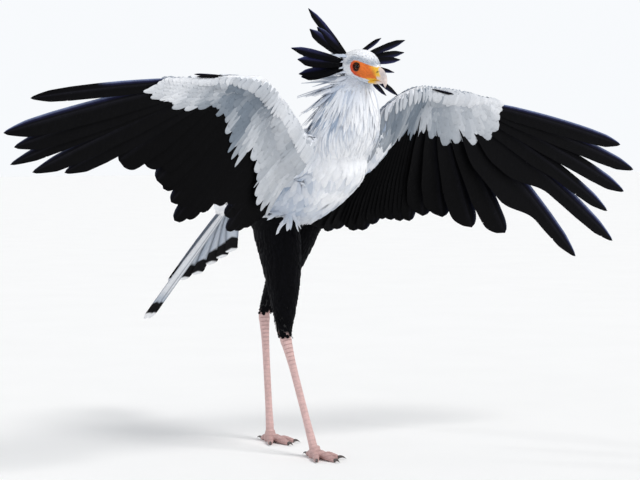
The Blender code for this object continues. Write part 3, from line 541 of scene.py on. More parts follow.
# Shares of the usual length in this pose, by the feather's number from the outermost inwards
LENGTH_SHARES = {
    "left": (
        (0, 1.08), (1, 1.075), (2, 1.09), (3, 1.05), (4, 1.20), (5, 1.18), (6, 0.99), (7, 0.97), (8, 0.93),
        (10, 0.94), (16, 0.85), (20, 0.88), (23, 0.87), (24, 0.84), (25, 0.91), (26, 0.96), (28, 0.96),
    ),
    "right": (
        (0, 0.93), (2, 0.924), (3, 0.966), (4, 0.926), (5, 0.916), (6, 0.85), (7, 0.87), (8, 0.90),
        (9, 1.03), (11, 1.04), (12.5, 1.09), (14, 1.14), (15, 1.13), (16, 0.97), (17.5, 0.85), (19, 0.78),
        (20, 0.74), (23, 0.72), (24, 0.87), (25, 0.97), (26, 0.945), (27, 0.92), (28, 0.88),
    ),
}
# Painted highlights in steel and painted violet sheen on the leading edges of the outer primaries: strength,
# and where each starts and ends
EDGE_HIGHLIGHTS = {
    "left": (
        (0.9, -0.2, 1.2), (0.8, 0.6, 1.2), (1.0, 0.8, 1.2),
        (1.0, 0.8, 1.2), (1.0, 0.45, 1.2), (0.7, 0.3, 1.2),
    ),
    "right": (
        (0.9, -0.2, 0.55), (0.8, 0.25, 1.2), (0.3, 0.5, 1.2),
        (0.2, 0.5, 1.2), (0.2, 0.5, 1.2), (0.2, 0.6, 1.2),
    ),
}
# A faint painted highlight on the leading edges of the other flight feathers
INNER_HIGHLIGHT = (0.12, 0.2, 1.2)
# The bastard wing's root on the wing, its angle in degrees and its lift
ALULA = {"left": (0.130, -0.1565, 13.0, -0.013), "right": (0.316, -0.1615, -1.0, -0.010)}
ALULA_LENGTH = 0.085
ALULA_HALF_WIDTH = 0.0028
# Painted highlight on the leading edges of the bastard wing
ALULA_HIGHLIGHT = (0.3, 0.3, 1.2)
# Half widths of the primaries on the leading and the trailing side, from the outermost inwards
PRIMARY_WIDTHS = {
    "left": ((0.0145, 0.0300), (0.0155, 0.0314), (0.0165, 0.0328), (0.0165, 0.0300), (0.0185, 0.0356),
             (0.0195, 0.0370), (0.0200, 0.0600), (0.0260, 0.0600), (0.0280, 0.0560), (0.0280, 0.0520)),
    "right": ((0.0130, 0.0200), (0.0150, 0.0340), (0.0150, 0.0340), (0.0150, 0.0220), (0.0120, 0.0340),
              (0.0150, 0.0340)) + 4 * ((0.0250, 0.0460),),
}
INNER_WIDTHS = (0.0180, 0.0280)
# Broad webs near the roots of the left wing's inner fingers: extra width, and the ends of its narrowing
WEBS = {3: (0.008, 0.42, 0.62), 4: (0.042, 0.30, 0.58), 5: (0.046, 0.42, 0.70)}
ELBOW_END = {"left": np.array([0.018, 0.046]), "right": np.array([0.050, 0.048])}
WRIST_STEP = np.array([-0.006, 0.012])
TRAIL_BACK = 0.050
PRIMARY_CURL = math.radians(7.0)
INNER_CURL = math.radians(4.0)
ARM_LEAD = {
    "left": ((-0.060, -0.010), (-0.015, -0.068), (0.025, -0.132), (0.075, -0.162)),
    "right": ((-0.060, -0.010), (0.030, -0.036), (0.092, -0.088), (0.150, -0.138)),
}
ARM_TRAIL = {
    "left": ((-0.050, 0.120), (0.030, 0.078), (0.070, 0.000), (0.105, -0.070)),
    "right": ((-0.050, 0.120), (0.062, 0.085), (0.120, 0.012), (0.170, -0.060)),
}
ARM_THICKNESS = (0.050, 0.046, 0.040, 0.034)
HAND_LEAD_OFFSET = 0.014
HAND_CHORDS = (0.066, 0.050, 0.036, 0.022)
HAND_THICKNESS = (0.029, 0.024, 0.019, 0.013)


def heading_vector(angle):
    """A direction on the wing: along the span at 0, and down the chord at a right angle."""
    return np.stack([np.cos(angle), np.sin(angle)], -1)


def chord_axes(span):
    """Down the chord and off the wing's back, at a distance along the span."""
    tilt = ROOT_TILT + (TIP_TILT - ROOT_TILT) * blend(span, 0.0, TWIST_SPAN)
    zero = np.zeros_like(tilt)
    down = np.stack([zero, np.sin(tilt), -np.cos(tilt)], -1)
    back = np.stack([zero, np.cos(tilt), np.sin(tilt)], -1)
    return down, back


class Wing:
    """One wing's surface: span runs out from the shoulder, chord runs down, lift stands off its back."""

    def __init__(self, side):
        sweep, hand_angle, wrist, self.hand_reach, self.size = WING_POSE[side]
        self.side = side
        self.sign = 1.0 if side == "left" else -1.0
        self.sweep = math.radians(sweep)
        self.along = np.array([self.sign * math.cos(self.sweep), -math.sin(self.sweep), 0.0])
        self.shoulder = SHOULDER * np.array([self.sign, 1.0, 1.0])
        self.hand_angle = math.radians(hand_angle)
        self.wrist = np.array(wrist)

    def place(self, span, chord, lift):
        span, chord, lift = np.broadcast_arrays(span, chord, lift)
        down, back = chord_axes(span)
        outer = 0.10 * np.maximum(span - TWIST_SPAN, 0.0) ** 2
        lift = lift + (outer - 0.25 * np.maximum(chord - 0.10, 0.0) ** 2)
        line = self.shoulder + span[..., None] * self.along
        return line + chord[..., None] * down + lift[..., None] * back

    def hand(self, share):
        return self.wrist + heading_vector(self.hand_angle) * (self.hand_reach * share)

    def arm_root(self, share):
        start = self.wrist + WRIST_STEP
        return start + (ELBOW_END[self.side] - start) * share


def wing_flesh(wing, depth):
    """The arm and hand, drawn in by the coat's depth."""
    stations = []
    for lead, trail, thickness in zip(ARM_LEAD[wing.side], ARM_TRAIL[wing.side], ARM_THICKNESS):
        stations.append((*lead, *trail, thickness))
    for index, (chord, thickness) in enumerate(zip(HAND_CHORDS, HAND_THICKNESS)):
        middle = wing.hand(index / (len(HAND_CHORDS) - 1.0))
        lead = middle[1] - HAND_LEAD_OFFSET
        stations.append((middle[0], lead, middle[0], lead + chord, thickness))
    rings = []
    angle = 2.0 * np.pi * (np.arange(20) + 0.5) / 20
    for lead_span, lead_chord, trail_span, trail_chord, thickness in spline_rows(stations, 28):
        share = 0.5 - 0.46 * np.cos(angle)
        lift = np.maximum(0.5 * thickness - depth, 0.003) * np.sin(angle) * (1.0 - 0.35 * share)
        span = lead_span + (trail_span - lead_span) * share
        chord = lead_chord + (trail_chord - lead_chord) * share
        rings.append(wing.place(span, chord, lift))
    return capped(rings)


# Large feathers, each a closed vane with its shaft


COLUMNS = np.array([-1.0, -0.62, -0.26, -0.045, 0.0, 0.045, 0.26, 0.62, 1.0])
BARB_SLANT = 0.55
SHAFT_REACH = 0.07
NOTCH_MOUTH = (-0.012, 0.0, 0.004)
NOTCH_WIDTH = 0.0015
# Each feather's barbs start somewhere else in the pattern, up to this far along it
VANE_SHIFT = 50.0


def vane_faces(rows, columns):
    """Faces of a closed vane: an upper and a lower grid that share their edges."""
    upper = np.arange(rows * columns).reshape(rows, columns)
    inner = np.arange(rows * (columns - 2)).reshape(rows, columns - 2) + rows * columns
    lower = np.concatenate([upper[:, :1], inner, upper[:, -1:]], axis=1)
    top = np.stack([upper[:-1, :-1], upper[:-1, 1:], upper[1:, 1:], upper[1:, :-1]], -1).reshape(-1, 4)
    under = np.stack([lower[:-1, :-1], lower[1:, :-1], lower[1:, 1:], lower[:-1, 1:]], -1).reshape(-1, 4)
    root = np.concatenate([upper[0, ::-1], lower[0, 1:-1]])[None]
    tip = np.concatenate([upper[-1], lower[-1, 1:-1][::-1]])[None]
    return [top, under, root, tip]


def outline_widths(outline, places, column):
    """Shares of a width at places along a feather, on straight lines between the outline's rows."""
    table = np.array(outline)
    return np.interp(places, table[:, 0], table[:, column])


def row_places(rows, notches):
    """Places along a feather, closer at the tip, with rows for each notch's mouth."""
    even = np.linspace(0.0, 1.0, rows)
    places = even * (1.0 - 0.25 * even) / 0.75
    extra = [notch + step for notch, _ in notches for step in NOTCH_MOUTH]
    return np.sort(np.clip(np.concatenate([places, extra]), 0.0, 1.0))


def rounded(places, tip_share):
    """1 along a feather, closing in a round tip over its last share."""
    share = np.clip((places - (1.0 - tip_share)) / tip_share, 0.0, 1.0)
    return np.sqrt(np.maximum(1.0 - share**2.2, 0.0004))


def draw_notches(draw, count, low, high):
    """Places and depths of the gaps between barbs."""
    return [(draw.uniform(low, high), draw.uniform(0.02, 0.10)) for _ in range(count)]


def notched(places, notches):
    result = np.ones_like(places)
    for place, depth in notches:
        near = np.abs(places - place) < NOTCH_WIDTH
        result[near] *= 1.0 - depth
    return result


def add_vane(shell, frame_at, lead, trail, length, notches, strip, colour, shaft=0.0016, thickness=0.0006,
             camber=0.05, skew=0.0):
    """A large feather from its centreline frames, with the half widths of both vanes along it."""
    places, centre, side, normal, along = frame_at
    rows, columns = len(places), len(COLUMNS)
    lead_cut, trail_cut = notched(places, notches[0]), notched(places, notches[1])
    offset = np.where(COLUMNS > 0, lead[:, None] * COLUMNS * lead_cut[:, None],
                      trail[:, None] * COLUMNS * trail_cut[:, None])
    width = np.maximum(lead, trail)[:, None]
    forward = BARB_SLANT * np.abs(offset) * (1.0 - 0.75 * blend(places, 0.75, 1.0))[:, None]
    forward = forward * blend(places, 0.0, 0.15)[:, None]
    forward = forward - skew * np.maximum(-offset, 0.0) * blend(places, 0.55, 1.0)[:, None]
    bend = -camber * offset**2 / np.maximum(width, 1e-5)
    near = np.exp(-((COLUMNS / SHAFT_REACH) ** 2))
    half = 0.5 * thickness * (1.0 - 0.6 * np.abs(COLUMNS))
    half = half + near * (shaft * (1.0 - 0.85 * places))[:, None] * 0.5
    spread = centre[:, None] + offset[..., None] * side[:, None] + forward[..., None] * along[:, None]
    lifted = normal[:, None] * bend[..., None]
    top = spread + lifted + normal[:, None] * half[..., None]
    under = spread + lifted - normal[:, None] * half[..., None]
    place, column = np.broadcast_arrays(places[:, None], COLUMNS)
    start, share, shift = strip
    bake = np.stack([start + share * (0.04 + 0.92 * (0.5 + 0.5 * column)), 0.01 + 0.98 * place], -1)
    vane = np.stack([offset, place * length + shift], -1)
    points = np.concatenate([top.reshape(-1, 3), under[:, 1:-1].reshape(-1, 3)])
    maps = []
    for part in (bake, vane, colour(place, column)):
        below = part[:, 1:-1].reshape(rows * (columns - 2), -1)
        maps.append(np.concatenate([part.reshape(rows * columns, -1), below]))
    shell.add(*outward(points, vane_faces(rows, columns)), *maps)


def wing_frames(wing, root, angle, length, curl, places, lift):
    """The centreline of a feather on the wing, with the frames along it."""
    fine = np.linspace(0.0, 1.0, 81)
    headings = heading_vector(angle + curl * fine)
    steps = 0.5 * (headings[1:] + headings[:-1]) * (length / 80.0)
    line = np.vstack([np.zeros(2), np.cumsum(steps, axis=0)]) + root
    span = np.interp(places, fine, line[:, 0])
    chord = np.interp(places, fine, line[:, 1])
    heading = angle + curl * places
    across = np.stack([np.sin(heading), -np.cos(heading)], -1)
    centre = wing.place(span, chord, lift)
    step = 0.004
    rise = math.tan(BLIND)
    side = wing.place(span + across[:, 0] * step, chord + across[:, 1] * step, lift + step * rise) - centre
    forward = heading_vector(heading)
    ahead = wing.place(span + forward[:, 0] * step, chord + forward[:, 1] * step, lift) - centre
    side, ahead = unit(side), unit(ahead)
    normal = unit(np.cross(ahead, side)) * -wing.sign
    back = wing.place(span, chord, np.asarray(lift) + step) - centre
    normal = normal * np.sign(np.einsum("ij,ij->i", normal, back))[:, None]
    return places, centre, side, normal, ahead


BLACK = srgb(5, 5, 8)
BLACK_WARM = srgb(9, 9, 11)
SHAFT_BLACK = srgb(34, 34, 42)
# Colours of the painted sheen and the painted highlight on the black feathers
VIOLET_SHEEN = srgb(58, 60, 112)
STEEL_HIGHLIGHT = srgb(150, 165, 205)
WHITE = srgb(246, 247, 250)
PALE = srgb(222, 227, 235)
SHADE = srgb(172, 183, 198)
GREY = srgb(138, 148, 162)
DEEP_GREY = srgb(98, 107, 120)
# Blue-grey: the tail's own grey, and painted shade on the body, the neck and low on the head
SOFT_BLUE = srgb(150, 167, 190)
# Grey under the wing, partly the coverts' own and partly painted shade
UNDERWING_GREY_SHADE = srgb(118, 128, 139)

FINGER_OUTLINE = (
    (0.0, 0.30, 0.16), (0.10, 0.70, 0.52), (0.22, 0.92, 0.85), (0.45, 1.0, 1.0), (0.60, 1.0, 0.98),
    (0.75, 0.98, 0.90), (0.88, 0.85, 0.72), (1.0, 0.50, 0.35),
)
BROAD_OUTLINE = (
    (0.0, 0.28, 0.18), (0.12, 0.46, 0.38), (0.35, 0.80, 0.76), (0.60, 1.0, 1.0), (0.85, 0.98, 0.93),
    (1.0, 0.92, 0.80),
)


def flight_colour(draw, line):
    """Black vanes, with a painted highlight in steel and a painted violet sheen along part of the leading
    edge.
    """
    warm = draw.uniform(0.0, 1.0)
    strength, start, end = line
    # Painted shade: the feathers with only the faint highlight, behind the fingers, are painted darker than
    # the lit fingers
    level = 1.0 if strength > 0.15 else 0.62

    def colour(place, column):
        base = mix(BLACK, BLACK_WARM, np.clip(0.4 + 0.6 * warm - 0.5 * column, 0, 1))
        # Painted sheen and painted highlight: violet over the leading vane, steel at its edge
        reach = strength * blend(place, start - 0.06, start + 0.06)
        reach = reach * (1.0 - blend(place, end - 0.05, end + 0.05))
        base = mix(base, VIOLET_SHEEN, 0.55 * reach * blend(column, 0.2, 0.9))
        base = mix(base, STEEL_HIGHLIGHT, 0.85 * reach * blend(column, 0.75, 1.0))
        shaft = np.exp(-((column / 0.06) ** 2))
        return mix(base, SHAFT_BLACK, 0.6 * shaft) * level

    return colour


def flight_feathers(wing):
    """(kind, root, angle, length) of each flight feather from the outermost inwards."""
    feathers = []
    for index, length in enumerate(PRIMARY_LENGTHS):
        share = OUTER_ROOT - ROOT_STRETCH * index / (PRIMARY_COUNT - 1.0)
        root = wing.hand(share) + np.array([0.0, 0.004])
        feathers.append(("primary", root, math.radians(SPREADS[wing.side][index]), length * wing.size))
    inner = (
        ("secondary", SECONDARY_COUNT, SECONDARY_SPREAD[wing.side], SECONDARY_LENGTHS, 0.00, 0.80),
        ("tertial", TERTIAL_COUNT, TERTIAL_SPREAD[wing.side], TERTIAL_LENGTHS, 0.84, 1.00),
    )
    for kind, count, angles, lengths, first, last in inner:
        for index in range(count):
            share = index / (count - 1.0)
            angle = math.radians(angles[0] + (angles[1] - angles[0]) * share)
            length = (lengths[0] + (lengths[1] - lengths[0]) * share) * wing.size
            feathers.append((kind, wing.arm_root(first + (last - first) * share), angle, length))
    return feathers


def add_flight_feathers(shell, wing, draw):
    feathers = flight_feathers(wing)
    shares = np.array(LENGTH_SHARES[wing.side])
    for index, (kind, root, angle, length) in enumerate(feathers):
        primary, finger = kind == "primary", index < FINGER_COUNT
        lead, trail = PRIMARY_WIDTHS[wing.side][index] if primary else INNER_WIDTHS
        outline = FINGER_OUTLINE if finger else BROAD_OUTLINE
        curl = PRIMARY_CURL if primary else INNER_CURL
        inward = max(index - PRIMARY_COUNT, 0) / (SECONDARY_COUNT + TERTIAL_COUNT - 1.0)
        length = length * draw.uniform(0.985, 1.005) * np.interp(index, shares[:, 0], shares[:, 1])
        if kind == "secondary" and index % 2:
            length *= 0.95
        notches = draw_notches(draw, 1, 0.6, 0.95)
        places = row_places(44 if primary else 34, notches)
        lift = TRAIL_BACK * inward * inward * places
        frames = wing_frames(wing, root, angle - 0.4 * curl, length, curl, places, lift)
        close = rounded(places, 0.14 if finger else 0.11)
        lead_width = lead * outline_widths(outline, places, 1) * close
        trail_width = trail * outline_widths(outline, places, 2) * close
        if wing.side == "left" and index in WEBS:
            web, narrows, ends = WEBS[index]
            web = web * blend(places, 0.04, 0.24)
            trail_width = trail_width + web * (1.0 - blend(places, narrows, ends))
        strip = (index / len(feathers), 1.0 / len(feathers), draw.uniform(0.0, VANE_SHIFT))
        line = EDGE_HIGHLIGHTS[wing.side][index] if finger else INNER_HIGHLIGHT
        skewed = wing.side == "left" and FINGER_COUNT <= index < PRIMARY_COUNT
        add_vane(
            shell, frames, lead_width, trail_width, length, ([], notches), strip, flight_colour(draw, line),
            shaft=0.0026 if primary else 0.0010, camber=0.05 if primary else 0.015,
            skew=0.55 if skewed else 0.0,
        )
    add_alula(shell, wing, 1.0 / len(feathers), draw)


def add_alula(shell, wing, strip_width, draw):
    """The bastard wing: two narrow feathers on the leading edge of the hand."""
    span, chord, turn, lift = ALULA[wing.side]
    places = row_places(24, [])
    width = ALULA_HALF_WIDTH * outline_widths(FINGER_OUTLINE, places, 1) * rounded(places, 0.3)
    for order in range(2):
        root = np.array([span + 0.012 * order, chord + 0.003 * order])
        length = ALULA_LENGTH - 0.022 * order
        angle = math.radians(turn + 2.0 * order)
        frames = wing_frames(wing, root, angle, length, 0.0, places, lift + 0.001 * order)
        strip = (0.0, strip_width, draw.uniform(0.0, VANE_SHIFT))
        add_vane(shell, frames, width, width, length, ([], []), strip, flight_colour(draw, ALULA_HIGHLIGHT))


# Tail


TAIL_CENTRAL_LENGTH = 0.560
TAIL_OUTER_LENGTHS = (0.385, 0.362, 0.315, 0.288, 0.262)
# The fan is open to the bird's left and shut to its right: side, root step, angle step and half width
TAIL_HALVES = ((1.0, 0.0030, math.radians(5.0), 0.0210), (-1.0, -0.0022, 0.0, 0.0110))
TAIL_PAIR_ANGLE = math.radians(0.4)
TAIL_CENTRAL_HALF_WIDTH = 0.0140
TAIL_CENTRAL_LEVEL = 8
TAIL_LAYER = 0.0008
TAIL_COVERT_REACH = 0.025
TAIL_SAG = 0.015
TAIL_OUTLINE = ((0.0, 0.40), (0.20, 0.72), (0.45, 0.92), (0.92, 0.90), (1.0, 0.80))


def straight_frames(root, direction, face, length, bend, places):
    """The centreline of a feather that bends towards its face."""
    direction = unit(direction)
    side = unit(np.cross(direction, face))
    normal = np.cross(side, direction)
    centre = root + direction * (length * places)[:, None] + normal * (bend * length * places**2)[:, None]
    along = unit(direction + normal * (2.0 * bend * places)[:, None])
    rows = len(places)
    side = np.broadcast_to(side, (rows, 3))
    return places, centre, side, np.cross(side, along), along


def tail_colour(length, central, pale):
    """Grey webs with a black band before a white tip."""
    tip = 0.030 if central else 0.016
    band = 0.085 if central else 0.078

    def colour(place, column):
        left = (1.0 - place) * length + 0.004 * np.abs(column)
        if central:
            base = mix(WHITE, PALE, np.clip(0.3 + 0.6 * np.abs(column), 0, 1))
            base = mix(base, SHADE, 0.8 * (1.0 - blend(left, 0.10, 0.16)))
        else:
            base = mix(PALE, SOFT_BLUE, np.clip(0.30 + 0.4 * np.abs(column) - pale, 0, 1))
            base = mix(base, GREY, 0.15 * blend(place, 0.2, 0.8))
        base = mix(base, DEEP_GREY, 0.75 * blend(np.abs(column), 0.80, 1.0))
        base = mix(base, BLACK, 1.0 - blend(left, band, band + 0.010))
        return mix(base, WHITE, 1.0 - blend(left, tip, tip + 0.006))

    return colour


def add_tail(shell, draw):
    ranks = (TAIL_CENTRAL_LENGTH,) + TAIL_OUTER_LENGTHS
    count = 2 * len(ranks)
    for rank, length in enumerate(ranks):
        # The central pair lies lowest. Above it the side feathers run up from the shortest to the longest
        central = rank == 0
        level = TAIL_CENTRAL_LEVEL if central else rank - 1
        for pair, (sign, root_step, angle_step, half_width) in enumerate(TAIL_HALVES):
            turn = sign * (TAIL_PAIR_ANGLE + angle_step * rank)
            direction = TAIL.forward * math.cos(turn) + TAIL.side * math.sin(turn)
            layer = TAIL_LAYER * (5.5 - 2.0 * level - pair)
            root = TAIL.at(0.030, sign * (0.003 + root_step * rank), layer)
            half = TAIL_CENTRAL_HALF_WIDTH if central else half_width
            notches = [draw_notches(draw, 2, 0.4, 0.97) for _ in range(2)]
            places = row_places(56 if central else 40, notches[0] + notches[1])
            frames = straight_frames(root, direction, TAIL.up, length, -TAIL_SAG, places)
            width = half * outline_widths(TAIL_OUTLINE, places, 1) * rounded(places, 0.07)
            strip = ((2 * rank + pair) / count, 1.0 / count, draw.uniform(0.0, VANE_SHIFT))
            colour = tail_colour(length, central, 0.1 * (rank % 2))
            add_vane(shell, frames, width, width, length, notches, strip, colour, shaft=0.0022, camber=0.08)


# Crest


CREST_OUTLINE = ((0.0, 0.22), (0.12, 0.45), (0.35, 0.84), (0.62, 1.0), (0.82, 0.84), (1.0, 0.36))
CREST_HALF_WIDTH = 0.0128
CREST_BEND = -0.05
# Each feather's rise above the side and lean to the back, in degrees, and its length
CREST_FEATHERS = {
    "right": (
        (63.5, 34, 0.158), (52.5, 32, 0.112), (43.5, 28, 0.120), (10.5, 14, 0.160),
        (11, 16, 0.130), (4, 14, 0.136), (-11, 16, 0.124), (-14, 22, 0.116),
    ),
    "left": (
        (28, 0, 0.112), (16, 4, 0.206), (8.5, 4, 0.204), (5, 4, 0.178),
        (-5, 0, 0.148), (-20, 6, 0.198), (-23, 10, 0.168),
    ),
}


def crest_colour(draw):
    # Painted sheen in violet and a painted highlight in steel on each feather's leading edge, at a strength
    # drawn at random
    edge = draw.uniform(0.4, 1.0)

    def colour(place, column):
        base = mix(BLACK, VIOLET_SHEEN, 0.55 * edge * blend(column, -0.2, 0.6) * blend(place, 0.3, 0.6))
        return mix(base, STEEL_HIGHLIGHT, 0.7 * edge * blend(column, 0.7, 1.0) * blend(place, 0.55, 0.95))

    return colour


def add_crest(shell, draw):
    total = sum(len(feathers) for feathers in CREST_FEATHERS.values())
    number = 0
    for side, sign in (("right", 1.0), ("left", -1.0)):
        feathers = CREST_FEATHERS[side]
        for index, (elevation, lean, length) in enumerate(feathers):
            rise, back = math.radians(elevation), math.radians(lean)
            lift = index / (len(feathers) - 1.0)
            direction = HEAD.side * (sign * math.cos(rise) * math.cos(back))
            direction = direction + HEAD.up * (math.sin(rise) * math.cos(back))
            direction = direction - HEAD.forward * math.sin(back)
            reach = sign * (0.008 + 0.014 * lift)
            root = HEAD.at(-0.050 + 0.006 * (index % 2), reach, 0.020 - 0.026 * lift)
            face = HEAD.forward + HEAD.up * 0.25 + HEAD.side * (0.2 * sign)
            half = CREST_HALF_WIDTH + 0.0015 * (index % 3)
            if side == "left":
                half = (0.55 if length < 0.15 else 0.80) * CREST_HALF_WIDTH
            notches = draw_notches(draw, 1, 0.6, 0.9)
            places = row_places(34, notches)
            frames = straight_frames(root, direction, face, length, CREST_BEND, places)
            width = half * outline_widths(CREST_OUTLINE, places, 1) * rounded(places, 0.30)
            strip = (number / total, 1.0 / total, draw.uniform(0.0, VANE_SHIFT))
            add_vane(shell, frames, width * 0.8, width, length, ([], notches), strip, crest_colour(draw),
                     shaft=0.0018, thickness=0.0005, camber=0.10)
            number += 1


# Skin


TORSO_ROWS = (
    (-0.275, 0.742, 0.034, 0.036),
    (-0.250, 0.742, 0.066, 0.066),
    (-0.200, 0.737, 0.091, 0.092),
    (-0.130, 0.720, 0.106, 0.112),
    (-0.050, 0.700, 0.110, 0.124),
    (0.030, 0.686, 0.106, 0.125),
    (0.110, 0.674, 0.091, 0.106),
    (0.180, 0.664, 0.071, 0.078),
    (0.240, 0.653, 0.050, 0.050),
    (0.275, 0.645, 0.033, 0.030),
)
NECK_ROWS = (
    (0.715, -0.155, 0.070, 0.060),
    (0.755, -0.200, 0.084, 0.084),
    (0.800, -0.234, 0.085, 0.096),
    (0.845, -0.252, 0.076, 0.094),
    (0.890, -0.264, 0.067, 0.082),
    (0.925, -0.276, 0.054, 0.062),
    (0.952, -0.290, 0.038, 0.040),
    (0.970, -0.298, 0.020, 0.022),
)
HEAD_ROWS = (
    (-0.066, 0.010, 0.016, 0.018),
    (-0.058, 0.024, 0.030, 0.024),
    (-0.038, 0.034, 0.039, 0.032),
    (-0.012, 0.037, 0.042, 0.036),
    (0.012, 0.0325, 0.037, 0.038),
    (0.028, 0.0240, 0.027, 0.036),
    (0.040, 0.0165, 0.015, 0.034),
    (0.047, 0.0125, 0.006, 0.033),
)
THIGH_ROWS = (
    (0.00, 0.054, 0.072),
    (0.16, 0.054, 0.072),
    (0.36, 0.048, 0.060),
    (0.58, 0.038, 0.045),
    (0.78, 0.027, 0.031),
    (0.93, 0.0185, 0.0205),
    (1.00, 0.0150, 0.0165),
)
TARSUS_ROWS = (
    (0.00, 0.0120, 0.0125),
    (0.06, 0.0140, 0.0160),
    (0.12, 0.0118, 0.0138),
    (0.30, 0.0088, 0.0108),
    (0.70, 0.0084, 0.0100),
    (0.90, 0.0098, 0.0112),
    (1.00, 0.0118, 0.0125),
)
TAIL_CORE_ROWS = (
    (-0.030, 0.030, 0.028),
    (0.000, 0.038, 0.032),
    (0.040, 0.036, 0.026),
    (0.080, 0.024, 0.014),
)
BROW_ROWS = (
    (-0.016, 0.0300, 0.0150, 0.0026, 0.0016),
    (-0.006, 0.0310, 0.0142, 0.0044, 0.0026),
    (0.006, 0.0292, 0.0118, 0.0042, 0.0025),
    (0.017, 0.0245, 0.0075, 0.0022, 0.0015),
)
LID_STEPS = ((0.0, 0.0078, 0.0066), (0.006, 0.0100, 0.0086), (0.016, 0.0145, 0.0125))
LID_THICKNESS = 0.0016
KNEE_PUSH = 0.016
TORSO_SQUARENESS = 2.15
# How far the flesh lies under the coat's outer face
TORSO_DEPTH = 0.008
NECK_DEPTH = 0.008
HEAD_DEPTH = 0.0022
THIGH_DEPTH = 0.005
TAIL_DEPTH = 0.006
WING_DEPTH = 0.003
THIGH_HEM = 0.012
BODY_VOXEL = 0.0045
HEAD_VOXEL = 0.0010
LEG_VOXEL = 0.0013
# Name, heading from straight ahead in degrees, length and radius of each toe
TOES = (
    ("middle", 0.0, 0.078, 0.0092),
    ("inner", 34.0, 0.056, 0.0086),
    ("outer", -32.0, 0.062, 0.0084),
    ("hind", 176.0, 0.030, 0.0078),
)
TOE_PROFILE = ((0.0, 1.10), (0.22, 1.10), (0.40, 0.90), (0.55, 1.02), (0.80, 0.86), (1.0, 0.64))
TOE_CENTRE_SHARE = 0.82
TOE_ROOT_REACH = 0.006
PALM_ROWS = (
    (0.0005, 0.0150, 0.0150),
    (0.010, 0.0170, 0.0175),
    (0.020, 0.0145, 0.0150),
    (0.030, 0.0120, 0.0125),
)
CLAW_PROFILE = ((0.0, 1.0), (0.30, 0.80), (0.60, 0.52), (0.85, 0.24))
CLAW_LENGTHS = {"middle": 0.021, "inner": 0.022, "outer": 0.018, "hind": 0.022}
CLAW_WIDTH_SHARE = 0.55
CLAW_DROP = 0.0028
GAP = 0.0003


def ball(centre, radius, rows, sides):
    rings = []
    for row in range(1, rows):
        angle = math.pi * row / rows
        middle = centre - UPWARD * (math.cos(angle) * radius)
        spread = math.sin(angle) * radius
        rings.append(section(middle, ACROSS, -AHEAD, spread, spread, sides))
    return loft(rings, centre - UPWARD * radius, centre + UPWARD * radius)


def torso_form():
    rings = []
    for y, height, half_width, half_height in spline_rows(TORSO_ROWS, 60):
        centre = np.array([0.0, y, height])
        wide, tall = half_width - TORSO_DEPTH, half_height - TORSO_DEPTH
        rings.append(section(centre, ACROSS, UPWARD, wide, tall, 64, TORSO_SQUARENESS))
    return capped(rings)


def neck_form():
    rings = []
    for height, y, half_width, half_depth in spline_rows(NECK_ROWS, 50):
        centre = np.array([0.0, y, height])
        depth = min(NECK_DEPTH, 0.3 * half_width)
        rings.append(section(centre, ACROSS, AHEAD, half_width - depth, half_depth - depth, 48))
    return capped(rings)


def skull_form():
    rings = []
    for place, half_width, top, bottom in spline_rows(HEAD_ROWS, 60):
        centre = HEAD.at(place, 0.0, 0.5 * (top - bottom))
        half_height = 0.5 * (top + bottom) - HEAD_DEPTH
        rings.append(section(centre, HEAD.side, HEAD.up, half_width - HEAD_DEPTH, half_height, 64))
    return loft(rings, HEAD.at(-0.068, 0.0, 0.0), HEAD.at(0.049, 0.0, -0.014))


def brow_form(sign):
    rows = spline_rows(BROW_ROWS, 14)
    centres = HEAD.at(rows[:, 0], sign * (rows[:, 1] - 0.0008), rows[:, 2])
    return tube(centres, rows[:, 3], rows[:, 4], 14, HEAD.up)


def lid_opening(sign):
    rings = []
    for reach, half_long, half_tall in LID_STEPS:
        centre = HEAD.at(0.0015, sign * (EYE_SIDE + reach), 0.0002)
        rings.append(section(centre, HEAD.forward, HEAD.up, half_long, half_tall, 40))
    return capped(rings)


def thigh_centres(side, places):
    hip, ankle = HIP_PLACE[side], ANKLE_PLACE[side]
    push = KNEE_PUSH * np.sin(np.pi * np.minimum(places * 1.1, 1.0))
    return hip + (ankle - hip) * places[:, None] + AHEAD * push[:, None]


def thigh_form(side):
    rows = spline_rows(THIGH_ROWS, 40)
    rings = []
    for centre, (place, half_width, half_depth) in zip(thigh_centres(side, rows[:, 0]), rows):
        depth = THIGH_DEPTH * (1.0 - 0.7 * place)
        rings.append(section(centre, ACROSS, -AHEAD, half_width - depth, half_depth - depth, 40))
    return capped(rings)


def tail_form():
    rings = []
    for place, half_width, half_height in spline_rows(TAIL_CORE_ROWS, 20):
        centre = TAIL.at(place, 0.0, 0.0)
        wide, tall = half_width - TAIL_DEPTH, half_height - TAIL_DEPTH
        rings.append(section(centre, TAIL.side, TAIL.up, wide, tall, 28))
    return capped(rings)


def tarsus_pose(side):
    top = ANKLE_PLACE[side] + np.array([0.0, 0.004, 0.012])
    bottom = FOOT_PLACE[side] + UPWARD * 0.012
    return top, bottom, Pose(top, bottom - top, AHEAD)


def tarsus_form(side):
    top, bottom, pose = tarsus_pose(side)
    rings = []
    for place, half_width, half_depth in spline_rows(TARSUS_ROWS, 60):
        centre = top + (bottom - top) * place
        rings.append(section(centre, pose.side, pose.up, half_width, half_depth, 36))
    return capped(rings)


def toe_direction(side, turn):
    heading = math.radians(turn if side == "left" else -turn)
    return np.array([-math.sin(heading), -math.cos(heading), 0.0])


